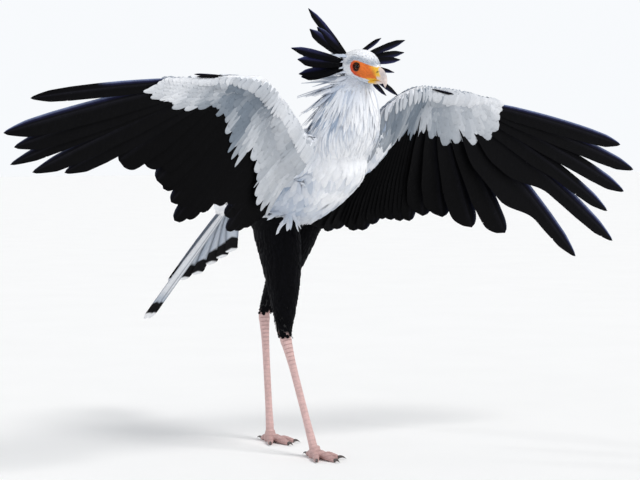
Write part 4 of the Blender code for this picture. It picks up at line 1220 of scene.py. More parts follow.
def toe_form(side, turn, length, radius):
    direction = toe_direction(side, turn)
    start = FOOT_PLACE[side] + direction * TOE_ROOT_REACH
    rings = []
    for place, share in spline_rows(TOE_PROFILE, 26):
        half = radius * share
        height = half * TOE_CENTRE_SHARE + 0.004 * (1.0 - place)
        centre = start + direction * (length * place) + UPWARD * height
        ring = section(centre, np.cross(direction, UPWARD), UPWARD, half, half, 26)
        ring[:, 2] = np.maximum(ring[:, 2], 0.0004)
        rings.append(ring)
    return capped(rings)


def palm_form(side):
    rows = spline_rows(PALM_ROWS, 14)
    centres = FOOT_PLACE[side] + rows[:, :1] * UPWARD
    return tube(centres, rows[:, 1], rows[:, 2], 30, AHEAD)


# The bare face, in the head's own frame: forward and up of its border
FACE_BORDER = np.array((
    (-0.0175, -0.001), (-0.0145, 0.0095), (-0.0060, 0.0150), (0.0060, 0.0145), (0.0180, 0.0105),
    (0.0320, 0.0055), (0.0480, 0.0010), (0.0580, -0.0100), (0.0540, -0.0370), (0.0340, -0.0345),
    (0.0200, -0.0285), (0.0050, -0.0252), (-0.0080, -0.0205), (-0.0155, -0.0120),
))


def border_distance(forward, up, border):
    """Distance to a closed border, negative inside it."""
    points = np.stack([forward, up], -1)
    best = np.full(len(points), 1e9)
    inside = np.zeros(len(points), bool)
    for start, end in zip(border, np.roll(border, -1, axis=0)):
        edge = end - start
        share = np.clip((points - start) @ edge / (edge @ edge), 0.0, 1.0)
        gap = points - start - share[:, None] * edge
        best = np.minimum(best, np.hypot(gap[:, 0], gap[:, 1]))
        crosses = (start[1] > points[:, 1]) != (end[1] > points[:, 1])
        with np.errstate(divide="ignore", invalid="ignore"):
            at = start[0] + (points[:, 1] - start[1]) / (end[1] - start[1]) * edge[0]
        inside ^= crosses & (points[:, 0] < at)
    return np.where(inside, -best, best)


def face_distance(points):
    """How far points of the head lie from the bare face, negative on it."""
    forward, side, up = HEAD.read(points)
    distance = border_distance(forward, up, FACE_BORDER)
    return np.where(np.abs(side) < 0.004, np.maximum(distance, 0.004 - np.abs(side)), distance)


FACE_RED = srgb(222, 72, 22)
FACE_ORANGE = srgb(240, 118, 24)
FACE_YELLOW = srgb(246, 190, 44)
LID_BLACK = srgb(22, 16, 14)
LEG_PINK = srgb(220, 184, 180)
LEG_DEEP = srgb(178, 138, 134)


def face_colour(points):
    forward, _, up = HEAD.read(points)
    colour = mix(FACE_RED, FACE_ORANGE, blend(forward + 0.35 * up, -0.014, 0.010))
    gape = blend(forward, 0.016, 0.028) * blend(-up, 0.0245, 0.0285)
    colour = mix(colour, FACE_YELLOW, np.maximum(blend(forward + 0.5 * up, 0.030, 0.046), gape))
    # Painted shade: the colour darkens along rings of wrinkle lines low on the face
    phase = 950.0 * np.hypot(forward, up) + 5.0 * np.sin(260.0 * up) + 3.0 * np.sin(310.0 * forward)
    crease_shade = 0.5 + 0.5 * np.sin(phase)
    return colour * (1.0 - 0.22 * crease_shade * blend(-up, 0.004, 0.014))[:, None]


def build_skin():
    body = [torso_form(), neck_form(), tail_form(), thigh_form("right"), thigh_form("left")]
    body += [wing_flesh(Wing(side), WING_DEPTH) for side in ("right", "left")]
    skin = remeshed("skin", body, BODY_VOXEL, 4)
    head_forms = [skull_form(), brow_form(1.0), brow_form(-1.0)]
    head_forms += [ball(eye_centre(sign), EYE_RADIUS + LID_THICKNESS, 24, 36) for sign in (1.0, -1.0)]
    head = remeshed("head_skin", head_forms, HEAD_VOXEL, 3)
    shape_face(head)
    for sign in (1.0, -1.0):
        for form in (lid_opening(sign), ball(eye_centre(sign), EYE_RADIUS + GAP, 28, 40)):
            cutter = Shell()
            cutter.add(*form)
            boolean(head, cutter.build("cutter", mapped=False), "DIFFERENCE")
    boolean(skin, head, "UNION")
    for side in ("right", "left"):
        forms = [tarsus_form(side), palm_form(side)]
        forms += [toe_form(side, turn, length, radius) for _, turn, length, radius in TOES]
        leg = remeshed("leg_skin_" + side, forms, LEG_VOXEL, 3)
        shape_leg(leg, side)
        boolean(skin, leg, "UNION")
    return skin


def shape_face(item):
    """Folds round the eye and along the face, raised in the skin."""
    points, normals = read_points(item), read_normals(item)
    forward, _, up = HEAD.read(points)
    bare = 1.0 - blend(face_distance(points), -0.0030, 0.0010)
    ring = np.hypot(forward - 0.0015, up)
    folds = np.sin(ring * 1500.0 + 2.0 * np.sin(up * 420.0)) * (1.0 - blend(ring, 0.014, 0.024))
    creases = np.sin(700.0 * (up + 0.30 * forward) + 3.0 * np.sin(240.0 * forward))
    creases = creases * blend(ring, 0.013, 0.018)
    height = bare * (0.0009 + 0.00028 * folds + 0.00030 * creases)
    write_points(item, points + normals * height[:, None])


PLATE_LENGTH = 0.0105
PLATE_HEIGHT = 0.00085
TOE_PLATE_LENGTH = 0.0062
TOE_PLATE_HEIGHT = 0.0007


def shape_leg(item, side):
    """Plates down the front of the shank and over the toes, and small scales behind."""
    points, normals = read_points(item), read_normals(item)
    along, across, front = tarsus_pose(side)[2].read(points)
    turn = np.arctan2(across, front)
    plate = (along / PLATE_LENGTH) % 1.0
    facing = blend(np.cos(turn), 0.15, 0.45)
    raised = facing * (blend(plate, 0.0, 0.12) - 0.55 * plate)
    cells = np.sin(along / 0.0011) * np.cos(turn * 9.0 + (along / 0.0035))
    behind = (1.0 - facing) * 0.22 * cells
    shank = blend(points[:, 2], 0.030, 0.045)
    height = shank * PLATE_HEIGHT * (raised + behind)
    offset = points - FOOT_PLACE[side]
    for _, toe_turn, _, _ in TOES:
        direction = toe_direction(side, toe_turn)
        reach = offset @ direction
        aside = np.abs(offset @ np.cross(direction, UPWARD))
        on_toe = blend(reach, 0.014, 0.020) * (1.0 - blend(aside, 0.008, 0.011)) * (1.0 - shank)
        plate = (reach / TOE_PLATE_LENGTH) % 1.0
        over = blend(normals[:, 2], 0.0, 0.4)
        height = height + on_toe * over * TOE_PLATE_HEIGHT * (blend(plate, 0.0, 0.15) - 0.5 * plate)
    write_points(item, points + normals * height[:, None])


def paint_skin(item):
    points, normals = read_points(item), read_normals(item)
    colour = plumage_colour(points, normals)
    bare = 1.0 - blend(face_distance(points), -0.0015, 0.0010)
    near_head = blend(points[:, 2], 0.915, 0.925) * (points[:, 1] < -0.30)
    colour = mix(colour, face_colour(points), bare * near_head)
    for sign in (1.0, -1.0):
        gap = np.linalg.norm(points - eye_centre(sign), axis=1)
        colour = mix(colour, LID_BLACK, 1.0 - blend(gap, EYE_RADIUS + 0.0032, EYE_RADIUS + 0.0046))
    for side in ("right", "left"):
        near = blend(ANKLE_PLACE[side][2] + 0.02 - points[:, 2], 0.0, 0.012)
        near = near * (np.abs(points[:, 1] - (ANKLE_PLACE[side][1] + FOOT_PLACE[side][1]) / 2) < 0.16)
        along, _, front = tarsus_pose(side)[2].read(points)
        seam = blend(np.abs((along / PLATE_LENGTH) % 1.0 - 0.5), 0.34, 0.48) * blend(front, -0.002, 0.006)
        seam = seam * (0.30 + 0.70 * (1.0 - blend(along, 0.05, 0.12)))
        tone = 0.5 * blend(-points[:, 2], -0.05, 0.0) + seam
        toned = mix(LEG_PINK, LEG_DEEP * 0.85, np.clip(tone, 0, 1))
        colour = mix(colour, toned, near)
    set_mark(item.data, colour)


def plumage_colour(points, normals):
    """Marks of the coat where it grows: white in front, grey on the back, black behind the belly."""
    _, y, z = points.T
    colour = np.broadcast_to(WHITE, points.shape).copy()
    back = blend(normals[:, 2], 0.15, 0.75) * blend(y, -0.17, -0.08) * (z > 0.60)
    colour = mix(colour, GREY, 0.85 * back)
    colour = mix(colour, BLACK, belly_share(points))
    return mix(colour, WHITE, blend((points - TAIL_ROOT) @ TAIL.forward, -0.045, -0.020) * (y > 0.20))


BELLY_HEIGHTS = (0.545, 0.573, 0.586, 0.598, 0.617, 0.638, 0.700, 0.740)
BELLY_BORDER = (-0.095, -0.071, -0.057, -0.036, -0.026, -0.012, 0.004, 0.020)


def belly_share(points):
    """0 on the white flank and 1 on the black behind it."""
    _, y, z = points.T
    border = np.interp(z, BELLY_HEIGHTS, BELLY_BORDER)
    share = blend(y, border - 0.0008, border + 0.0008)
    share = share * (1.0 - blend(z, 0.739, 0.741))
    below = 1.0 - blend(z, 0.5455, 0.5465)
    return np.maximum(share, below)


# Painted shade: soft blue-grey patches on the sides of the body: place along and up, reach along and up, and
# share
BODY_SHADE_PATCHES = (
    (-0.070, 0.745, 0.050, 0.022, 0.90), (-0.115, 0.685, 0.045, 0.034, 0.85),
    (-0.195, 0.725, 0.016, 0.050, 0.95), (-0.105, 0.612, 0.055, 0.018, 0.60),
    (-0.245, 0.680, 0.026, 0.012, 0.65), (-0.040, 0.655, 0.040, 0.034, 0.75),
    (-0.150, 0.640, 0.040, 0.014, 0.60), (-0.030, 0.710, 0.050, 0.030, 0.70),
    (-0.225, 0.765, 0.014, 0.030, 0.50),
)


def body_shade_patches(points):
    """How grey the patches of painted shade make each point, from 0 to 1."""
    _, y, z = points.T
    total = np.zeros(len(points))
    for along, height, wide, tall, share in BODY_SHADE_PATCHES:
        total = total + share * np.exp(-(((y - along) / wide) ** 2) - (((z - height) / tall) ** 2))
    return np.clip(total, 0.0, 1.0)


# Small feathers that lie on the skin


ROUND_SHAPE = ((0.0, 0.50), (0.25, 0.86), (0.50, 1.0), (0.75, 0.93), (0.92, 0.60), (1.0, 0.12))
POINTED_SHAPE = ((0.0, 0.55), (0.30, 1.0), (0.55, 0.86), (0.80, 0.45), (1.0, 0.03))
PATCH = 0.003


class Surface:
    """A skin's triangles, with the nearest place on it for any point."""

    def __init__(self, item):
        self.points = read_points(item)
        mesh = item.data
        mesh.calc_loop_triangles()
        corners = np.zeros(len(mesh.loop_triangles) * 3, np.int32)
        mesh.loop_triangles.foreach_get("vertices", corners)
        self.triangles = corners.reshape(-1, 3)
        self.tree = BVHTree.FromPolygons(self.points.tolist(), self.triangles.tolist())
        corner = self.points[self.triangles]
        cross = np.cross(corner[:, 1] - corner[:, 0], corner[:, 2] - corner[:, 0])
        self.areas = 0.5 * np.linalg.norm(cross, axis=1)
        self.normals = unit(cross)
        self.centres = corner.mean(axis=1)
        self.smooth = read_normals(item)

    def nearest(self, points):
        """Nearest places and the smooth normals there."""
        found = [self.tree.find_nearest(point) for point in points.tolist()]
        places = np.array([hit[0] for hit in found])
        faces = self.triangles[[hit[2] for hit in found]]
        return places, unit(self.smooth[faces].mean(axis=1))

    def reach(self, origins, directions, limit):
        """How far each ray goes before it meets the skin, or the limit."""
        result = np.full(len(origins), limit)
        for index, (origin, direction) in enumerate(zip(origins.tolist(), directions.tolist())):
            hit = self.tree.ray_cast(origin, direction, limit)
            if hit[0] is not None:
                result[index] = hit[3]
        return result

    def scatter(self, wanted, spacing, draw):
        """Roots spread evenly over the triangles that are wanted."""
        chosen = np.flatnonzero(wanted)
        areas = self.areas[chosen]
        tries = int(5.0 * areas.sum() / spacing**2)
        picks = chosen[draw.choice(len(chosen), tries, p=areas / areas.sum())]
        first, second = draw.random(tries), draw.random(tries)
        flip = first + second > 1.0
        first[flip], second[flip] = 1.0 - first[flip], 1.0 - second[flip]
        corner = self.points[self.triangles[picks]]
        points = corner[:, 0] + first[:, None] * (corner[:, 1] - corner[:, 0])
        points = points + second[:, None] * (corner[:, 2] - corner[:, 0])
        tree = KDTree(tries)
        for index, point in enumerate(points.tolist()):
            tree.insert(point, index)
        tree.balance()
        alive = np.ones(tries, bool)
        for index in range(tries):
            if alive[index]:
                for _, other, _ in tree.find_range(points[index].tolist(), spacing):
                    if other != index:
                        alive[other] = False
        faces = self.triangles[picks[alive]]
        return points[alive], unit(self.smooth[faces].mean(axis=1))


def small_faces(rows, columns):
    """Faces of a small closed feather: a ridged top over one flat strip."""
    grid = np.arange(rows * columns).reshape(rows, columns)
    top = np.stack([grid[:-1, :-1], grid[:-1, 1:], grid[1:, 1:], grid[1:, :-1]], -1).reshape(-1, 4)
    under = np.stack([grid[:-1, 0], grid[1:, 0], grid[1:, -1], grid[:-1, -1]], -1)
    return [top, under, grid[0, ::-1][None], grid[-1][None]]


def repeat_faces(faces, size, count):
    steps = (np.arange(count) * size)[:, None, None]
    return [(group[None] + steps).reshape(-1, group.shape[1]) for group in faces]


def add_small(shell, centre, side, normal, along, widths, crown, lengths, bake, mark, draw, slant=0.5):
    """Closed feathers from rows of centres with their frames: arrays of (feather, row, 3)."""
    count, rows = widths.shape
    columns = crown[0]
    spots = np.linspace(-1.0, 1.0, columns)
    ragged = 1.0 + 0.10 * (draw.random((count, rows, columns)) - 0.5) * np.abs(spots)
    offset = widths[..., None] * spots * ragged
    rise = crown[1] * widths.max(axis=1)[:, None, None] * (1.0 - np.abs(spots) ** 1.6)
    rise = rise + crown[2] * (1.0 - spots**2)
    forward = slant * np.abs(offset)
    points = centre[:, :, None] + offset[..., None] * side[:, :, None]
    points = points + rise[..., None] * normal[:, :, None] + forward[..., None] * along[:, :, None]
    places = np.linspace(0.0, 1.0, rows)
    u = bake[:, None, None, 0] + PATCH * 0.5 * spots + np.zeros((count, rows, columns))
    v = bake[:, None, None, 1] + PATCH * (places[:, None] - 0.5) + np.zeros((count, rows, columns))
    shift = draw.uniform(0.0, 20.0, count)[:, None, None]
    down = places[None, :, None] * lengths[:, None, None] + shift + np.zeros((count, rows, columns))
    marks = np.broadcast_to(mark[:, :, None], (count, rows, columns, 3))
    faces = repeat_faces(small_faces(rows, columns), rows * columns, count)
    shell.add(points, faces, np.stack([u, v], -1), np.stack([offset, down], -1), marks)


def feather_marks(colour, rows, draw, root_shade=0.30, spread=0.05, rim_shade=0.0):
    """Each feather's colour along it in its own tone, with painted shade that makes it darker and bluer at
    the root and at the edge of its tip.
    """
    places = np.linspace(0.0, 1.0, rows)
    tone = 1.0 + spread * draw.standard_normal(len(colour))
    dark = colour * np.array([0.70, 0.76, 0.86])
    share = root_shade * 3.0 * (1.0 - blend(places, 0.15, 0.85)) + rim_shade * blend(places, 0.84, 1.0)
    marks = mix(colour[:, None], dark[:, None], np.clip(share, 0, 1)[None, :])
    return marks * np.clip(tone, 0.6, 1.25)[:, None, None]


CROWN = (0.16, 0.0004)


def lay(shell, surface, roots, normals, flow, length, half_width, colour, bake, draw, rows=7, columns=5,
        pointed=0.0, rise=(0.0006, 0.004), stand=0.0, jitter=0.10, root_shade=0.30, spread=0.05):
    """Feathers that follow the skin from their roots along the lie."""
    count = len(roots)
    length = np.broadcast_to(length, count) * draw.uniform(0.86, 1.14, count)
    half_width = np.broadcast_to(half_width, count) * draw.uniform(0.88, 1.12, count)
    stand = np.broadcast_to(stand, count)
    pointed = np.broadcast_to(pointed, count)[:, None]
    direction = unit(flow - np.einsum("ij,ij->i", flow, normals)[:, None] * normals)
    across = np.cross(direction, normals)
    direction = unit(direction + across * (jitter * draw.standard_normal(count))[:, None])
    place, normal = roots, normals
    centres, aways = [place], [normal]
    step = length[:, None] / (rows - 1.0)
    for _ in range(rows - 1):
        place, found = surface.nearest(place + direction * step)
        normal = unit(0.5 * normal + 0.5 * found)
        direction = unit(direction - np.einsum("ij,ij->i", direction, normal)[:, None] * normal)
        centres.append(place)
        aways.append(normal)
    centre, away = np.stack(centres, 1), np.stack(aways, 1)
    places = np.linspace(0.0, 1.0, rows)
    lifted = rise[0] + (rise[1] - rise[0]) * places**1.2
    lifted = lifted[None, :] + stand[:, None] * places[None, :] ** 1.8
    lifted = lifted * draw.uniform(0.75, 1.25, count)[:, None]
    centre = centre + away * lifted[..., None]
    along = unit(np.gradient(centre, axis=1))
    side = unit(np.cross(along, away))
    away = np.cross(side, along)
    round_width = np.interp(places, *np.array(ROUND_SHAPE).T)
    sharp_width = np.interp(places, *np.array(POINTED_SHAPE).T)
    widths = half_width[:, None] * (round_width * (1.0 - pointed) + sharp_width * pointed)
    marks = feather_marks(colour, rows, draw, root_shade, spread)
    add_small(shell, centre, side, away, along, widths, (columns, *CROWN), length, bake, marks, draw)


def wave(points, scale, turn):
    """A soft irregular pattern between 0 and 1 from a few crossed waves."""
    x, y, z = (points * scale).T
    total = np.sin(1.7 * x + 2.3 * y + turn) + np.sin(2.9 * z - 1.3 * y + 2.0 * turn)
    total = total + np.sin(2.1 * y + 1.9 * z + 1.5 * x - turn) + np.sin(3.7 * z + 0.8 * x + 3.0 * turn)
    return 0.5 + 0.125 * total * 1.6


def round_axis(points, centre, first, second, along, low, high):
    """An unwrap round an axis: turn across and length down."""
    offset = points - centre
    turn = np.arctan2(offset @ first, offset @ second)
    down = (offset @ along - low) / (high - low)
    return np.stack([0.01 + 0.98 * (turn / (2.0 * np.pi) + 0.5), 0.01 + 0.98 * np.clip(down, 0, 1)], -1)


# Borders between the regions of the skin: heights, and how far out the wings start
NECK_LOW = 0.795
HEAD_LOW = 0.925
THIGH_TOP = 0.583
LEG_TOP = 0.28
WING_START = 0.112


def region_of(points):
    """Which part of the body each point is on: head, neck, torso, thigh, wing, tail or bare."""
    x, y, z = points.T
    forward = HEAD.read(points)[0]
    label = np.full(len(points), "torso", dtype="<U6")
    label[(z > NECK_LOW) & (y < -0.10)] = "neck"
    label[(z > HEAD_LOW) & (forward > -0.075) & (y < -0.2)] = "head"
    for name in ("right", "left"):
        hip, ankle = HIP_PLACE[name], ANKLE_PLACE[name]
        share = np.clip((hip[2] - z) / (hip[2] - ankle[2]), 0.0, 1.3)
        line = hip + (ankle - hip) * share[:, None]
        near = np.hypot(x - line[:, 0], y - line[:, 1] + 0.008) < 0.085
        hem = ankle[2] - 0.002
        label[near & (z < THIGH_TOP) & (z > hem)] = "thigh"
        label[near & (z <= hem)] = "bare"
    label[z < LEG_TOP] = "bare"
    label[(np.abs(x) > WING_START) & (z > 0.70)] = "wing"
    reach = (points - TAIL_ROOT) @ TAIL.forward
    label[(y > 0.25) & (reach > -0.012)] = "tail"
    return label


def body_flow(points):
    """The lie of the coat on the torso."""
    x, y, z = points.T
    back = 0.15 + 0.85 * blend(y, -0.30, -0.06)
    down = 1.0 - 0.78 * blend(y, -0.26, 0.06)
    down = down * (1.0 - 0.5 * blend(z, 0.70, 0.80))
    return np.stack([0.10 * np.sign(x), back, -down], -1)


def neck_flow(points):
    """Down the front, and back and down on the sides and the nape."""
    x, y, z = points.T
    back = 0.04 + 0.85 * blend(y, -0.345, -0.225) * blend(z, 0.79, 0.90)
    return np.stack([0.10 * np.sign(x), back, -np.ones_like(x)], -1)


def head_flow(points):
    """Back over the skull, and down on its sides."""
    _, side, up = HEAD.read(points)
    fall = 0.9 * blend(-up, 0.004, 0.032) + 0.10
    side_out = 0.15 * np.sign(side)
    return -HEAD.forward - HEAD.up * fall[:, None] + HEAD.side * side_out[:, None]


# How far the roots of the small feathers stand apart
HEAD_SPACING = 0.0029
NECK_SPACING = 0.0066
TORSO_SPACING = 0.0112
THIGH_SPACING = 0.0074
WING_SPACING = 0.0078


def add_head_coat(shell, surface, regions, draw):
    distance = face_distance(surface.centres)
    forward = HEAD.read(surface.centres)[0]
    wanted = (regions == "head") & (distance > 0.0006) & (forward < 0.046)
    roots, normals = surface.scatter(wanted, HEAD_SPACING, draw)
    forward, _, up = HEAD.read(roots)
    distance = face_distance(roots)
    size = blend(distance, 0.0, 0.030)
    length = 0.0065 + 0.0125 * size
    rear = blend(-forward, 0.030, 0.060)
    length = length + 0.012 * rear
    colour = plumage_colour(roots, normals)
    # Painted shadow of the brow in a band just above the bare face, and painted shade low on the head behind
    # the bill
    brow_shadow = (1.0 - blend(distance, 0.005, 0.016)) * blend(up, 0.000, 0.008)
    cheek_shade = blend(-up, 0.014, 0.028) * (1.0 - blend(forward, 0.030, 0.044))
    colour = mix(colour, SHADE * 0.8, np.clip(0.80 * brow_shadow, 0, 1))
    colour = mix(colour, SOFT_BLUE, np.clip(0.40 * cheek_shade, 0, 1))
    bake = round_axis(roots, EYE_MID, HEAD.side, HEAD.up, HEAD.forward, -0.08, 0.05)
    tuft = rear * blend(up, -0.020, 0.0)
    length = length + 0.010 * tuft
    lay(shell, surface, roots, normals, head_flow(roots), length, 0.0015 + 0.0016 * size, colour, bake, draw,
        rows=5, columns=3, pointed=0.35, rise=(0.0003, 0.0017), stand=0.002 * rear + 0.006 * tuft,
        jitter=0.12, root_shade=0.08, spread=0.03)


def neck_map(points):
    """The neck's unwrap round its axis."""
    return round_axis(points, np.array([0.0, -0.25, 0.0]), ACROSS, AHEAD, UPWARD, 0.78, 0.96)


def add_neck_coat(shell, surface, regions, draw):
    roots, normals = surface.scatter(regions == "neck", NECK_SPACING, draw)
    _, y, z = roots.T
    nape = blend(y, -0.275, -0.215)
    upper = blend(z, 0.84, 0.90)
    colour = plumage_colour(roots, normals)
    # Painted shade: blue-grey streaks and an even grey, stronger away from the front of the neck and fainter
    # low down
    slanted = roots + roots[:, 2:] * np.array([0.0, 0.9, 0.0])
    streak = wave(slanted * np.array([1.0, 1.0, 0.18]), 105.0, 0.7)
    side = 1.0 - blend(-y, 0.300, 0.335)
    shaded = blend(streak, 0.48, 0.72) * (0.25 + 0.75 * side)
    fade = 0.35 + 0.65 * blend(z, 0.805, 0.860)
    colour = mix(colour, SOFT_BLUE, np.clip((0.70 * shaded + 0.18 * side) * fade, 0, 1))
    length = 0.056 + 0.010 * nape
    lay(shell, surface, roots, normals, neck_flow(roots), length, 0.0048, colour, neck_map(roots), draw,
        rows=8, pointed=0.9, rise=(0.0008, 0.0052), stand=0.008 * nape * upper, jitter=0.10,
        root_shade=0.10, spread=0.04)
    add_ruff(shell, draw)


# Tiers of the ruff: height on the neck, length, count of locks, reach round the nape in degrees and drop
RUFF_TIERS = (
    (0.940, 0.104, 7, 100.0, -0.02), (0.922, 0.110, 8, 108.0, 0.16), (0.902, 0.104, 8, 110.0, 0.40),
    (0.876, 0.088, 8, 105.0, 0.70), (0.850, 0.070, 7, 95.0, 1.05),
)
RUFF_LOCK = (-1.2, -0.4, 0.4, 1.2)
# Rows of pointed feathers on the back of the head: height above the eye, length and rise
NAPE_ROWS = ((0.022, 0.052, 0.16), (0.010, 0.066, 0.06), (-0.003, 0.078, -0.04), (-0.015, 0.080, -0.14))
NAPE_COUNT = 9
NAPE_HALF_WIDTH = 0.028


def add_ruff(shell, draw):
    """Loose locks of pointed feathers that stand off the nape and lie back on the sides of the neck."""
    places = np.linspace(0.0, 1.0, 9)
    heights = [row[0] for row in NECK_ROWS]
    parts, lengths, halves, roots = [], [], [], []

    def add_one(root, heading, face, reach, bend, half_widths):
        parts.append(straight_frames(root, heading, face, reach, bend, places)[1:])
        lengths.append(reach)
        halves.append(draw.uniform(*half_widths))
        roots.append(root)

    for height, length, count, reach_round, drop in RUFF_TIERS:
        columns = [[row[at] for row in NECK_ROWS] for at in (1, 2, 3)]
        y, half_width, half_depth = [np.interp(height, heights, column) for column in columns]
        for index in range(count):
            turn = math.radians(reach_round * (2.0 * index / (count - 1.0) - 1.0) + draw.normal(0.0, 3.0))
            outward = unit([math.sin(turn) * half_depth, math.cos(turn) * half_width, 0.0])
            surface = np.array([math.sin(turn) * half_width, y + math.cos(turn) * half_depth, height])
            aside = np.cross(outward, UPWARD)
            nape = max(math.cos(turn), 0.0)
            lock = outward * (0.22 + 0.60 * nape) - AHEAD * (0.65 * (1.0 - nape))
            lock = lock - UPWARD * (drop + draw.normal(0.0, 0.08))
            for step in RUFF_LOCK:
                heading = lock + aside * (0.13 * step + draw.normal(0.0, 0.04))
                root = surface - outward * 0.009 + aside * (0.0055 * step)
                root = root + UPWARD * draw.uniform(0.0, 0.010)
                reach = length * draw.uniform(0.78, 1.02) * (0.50 + 0.50 * nape)
                add_one(root, heading, outward + UPWARD * 0.7, reach, -0.05, (0.0055, 0.0080))
    for height, length, rise in NAPE_ROWS:
        for across in np.linspace(-1.0, 1.0, NAPE_COUNT):
            root = HEAD.at(-0.044 + 0.010 * abs(across), NAPE_HALF_WIDTH * across, height)
            heading = -HEAD.forward + HEAD.side * (0.40 * across + draw.normal(0.0, 0.05))
            heading = heading + HEAD.up * (rise + draw.normal(0.0, 0.05))
            reach = length * draw.uniform(0.80, 1.10)
            add_one(root, heading, HEAD.up + HEAD.side * across, reach, -0.06, (0.0042, 0.0060))
    centre, side, normal, along = (np.stack([part[at] for part in parts]) for at in range(4))
    widths = np.array(halves)[:, None] * np.interp(places, *np.array(POINTED_SHAPE).T)
    roots, lengths = np.array(roots), np.array(lengths)
    white = np.broadcast_to(WHITE, roots.shape)
    colour = mix(white, SOFT_BLUE, 0.45 * blend(wave(roots, 90.0, 1.3), 0.4, 0.7))
    marks = feather_marks(colour, len(places), draw, 0.20, 0.04, 0.35)
    add_small(shell, centre, side, normal, along, widths, (5, *CROWN), lengths, neck_map(roots), marks, draw)


TORSO_MIDDLE = np.array([0.0, 0.0, 0.69])


def add_torso_coat(shell, surface, wanted, draw):
    roots, normals = surface.scatter(wanted, TORSO_SPACING, draw)
    flow = body_flow(roots)
    middle = roots + unit(flow) * 0.034
    colour = plumage_colour(middle, normals)
    white = 1.0 - belly_share(middle)
    # Painted shade: the patches, broken up by a soft wave, and a grey that grows behind the breast; none on
    # the black
    mottle = 0.75 + 0.5 * (wave(roots, 60.0, 2.1) - 0.5)
    level = body_shade_patches(middle) * mottle + 0.22 * blend(middle[:, 1], -0.24, -0.12)
    colour = mix(colour, SOFT_BLUE, np.clip(level * white, 0, 1))
    _, y, z = roots.T
    belly = blend(y, -0.16, -0.05) * (1.0 - blend(z, 0.60, 0.68)) * white
    dark = 1.0 - white
    bake = round_axis(roots, TORSO_MIDDLE, ACROSS, UPWARD, -AHEAD, -0.30, 0.30)
    low = 1.0 - blend(z, 0.580, 0.610)
    length = 0.060 - 0.010 * belly - 0.012 * dark - 0.018 * low
    lay(shell, surface, roots, normals, flow, length, 0.0098 - 0.0036 * belly, colour, bake, draw, rows=8,
        pointed=0.35 + 0.45 * belly, rise=(0.0010, 0.0046), stand=0.002 * belly, jitter=0.09,
        root_shade=0.06, spread=0.025)


def add_thigh_coat(shell, surface, wanted, side, draw):
    hip, ankle = HIP_PLACE[side], ANKLE_PLACE[side]
    wanted = wanted & (surface.centres[:, 2] > ankle[2] + THIGH_HEM)
    roots, normals = surface.scatter(wanted, THIGH_SPACING, draw)
    low = blend(ankle[2] + 0.16 - roots[:, 2], 0.0, 0.14)
    flow = np.broadcast_to(unit(ankle - hip), roots.shape)
    colour = np.broadcast_to(BLACK, roots.shape) * (0.9 + 0.5 * draw.random(len(roots)))[:, None]
    bake = round_axis(roots, (hip + ankle) / 2.0, ACROSS, AHEAD, UPWARD, -0.16, 0.16)
    lay(shell, surface, roots, normals, flow, 0.036 - 0.023 * low, 0.0078 - 0.0032 * low, colour, bake, draw,
        pointed=0.45 - 0.35 * low, rise=(0.0008, 0.0034), jitter=0.08, spread=0.0, root_shade=0.0)


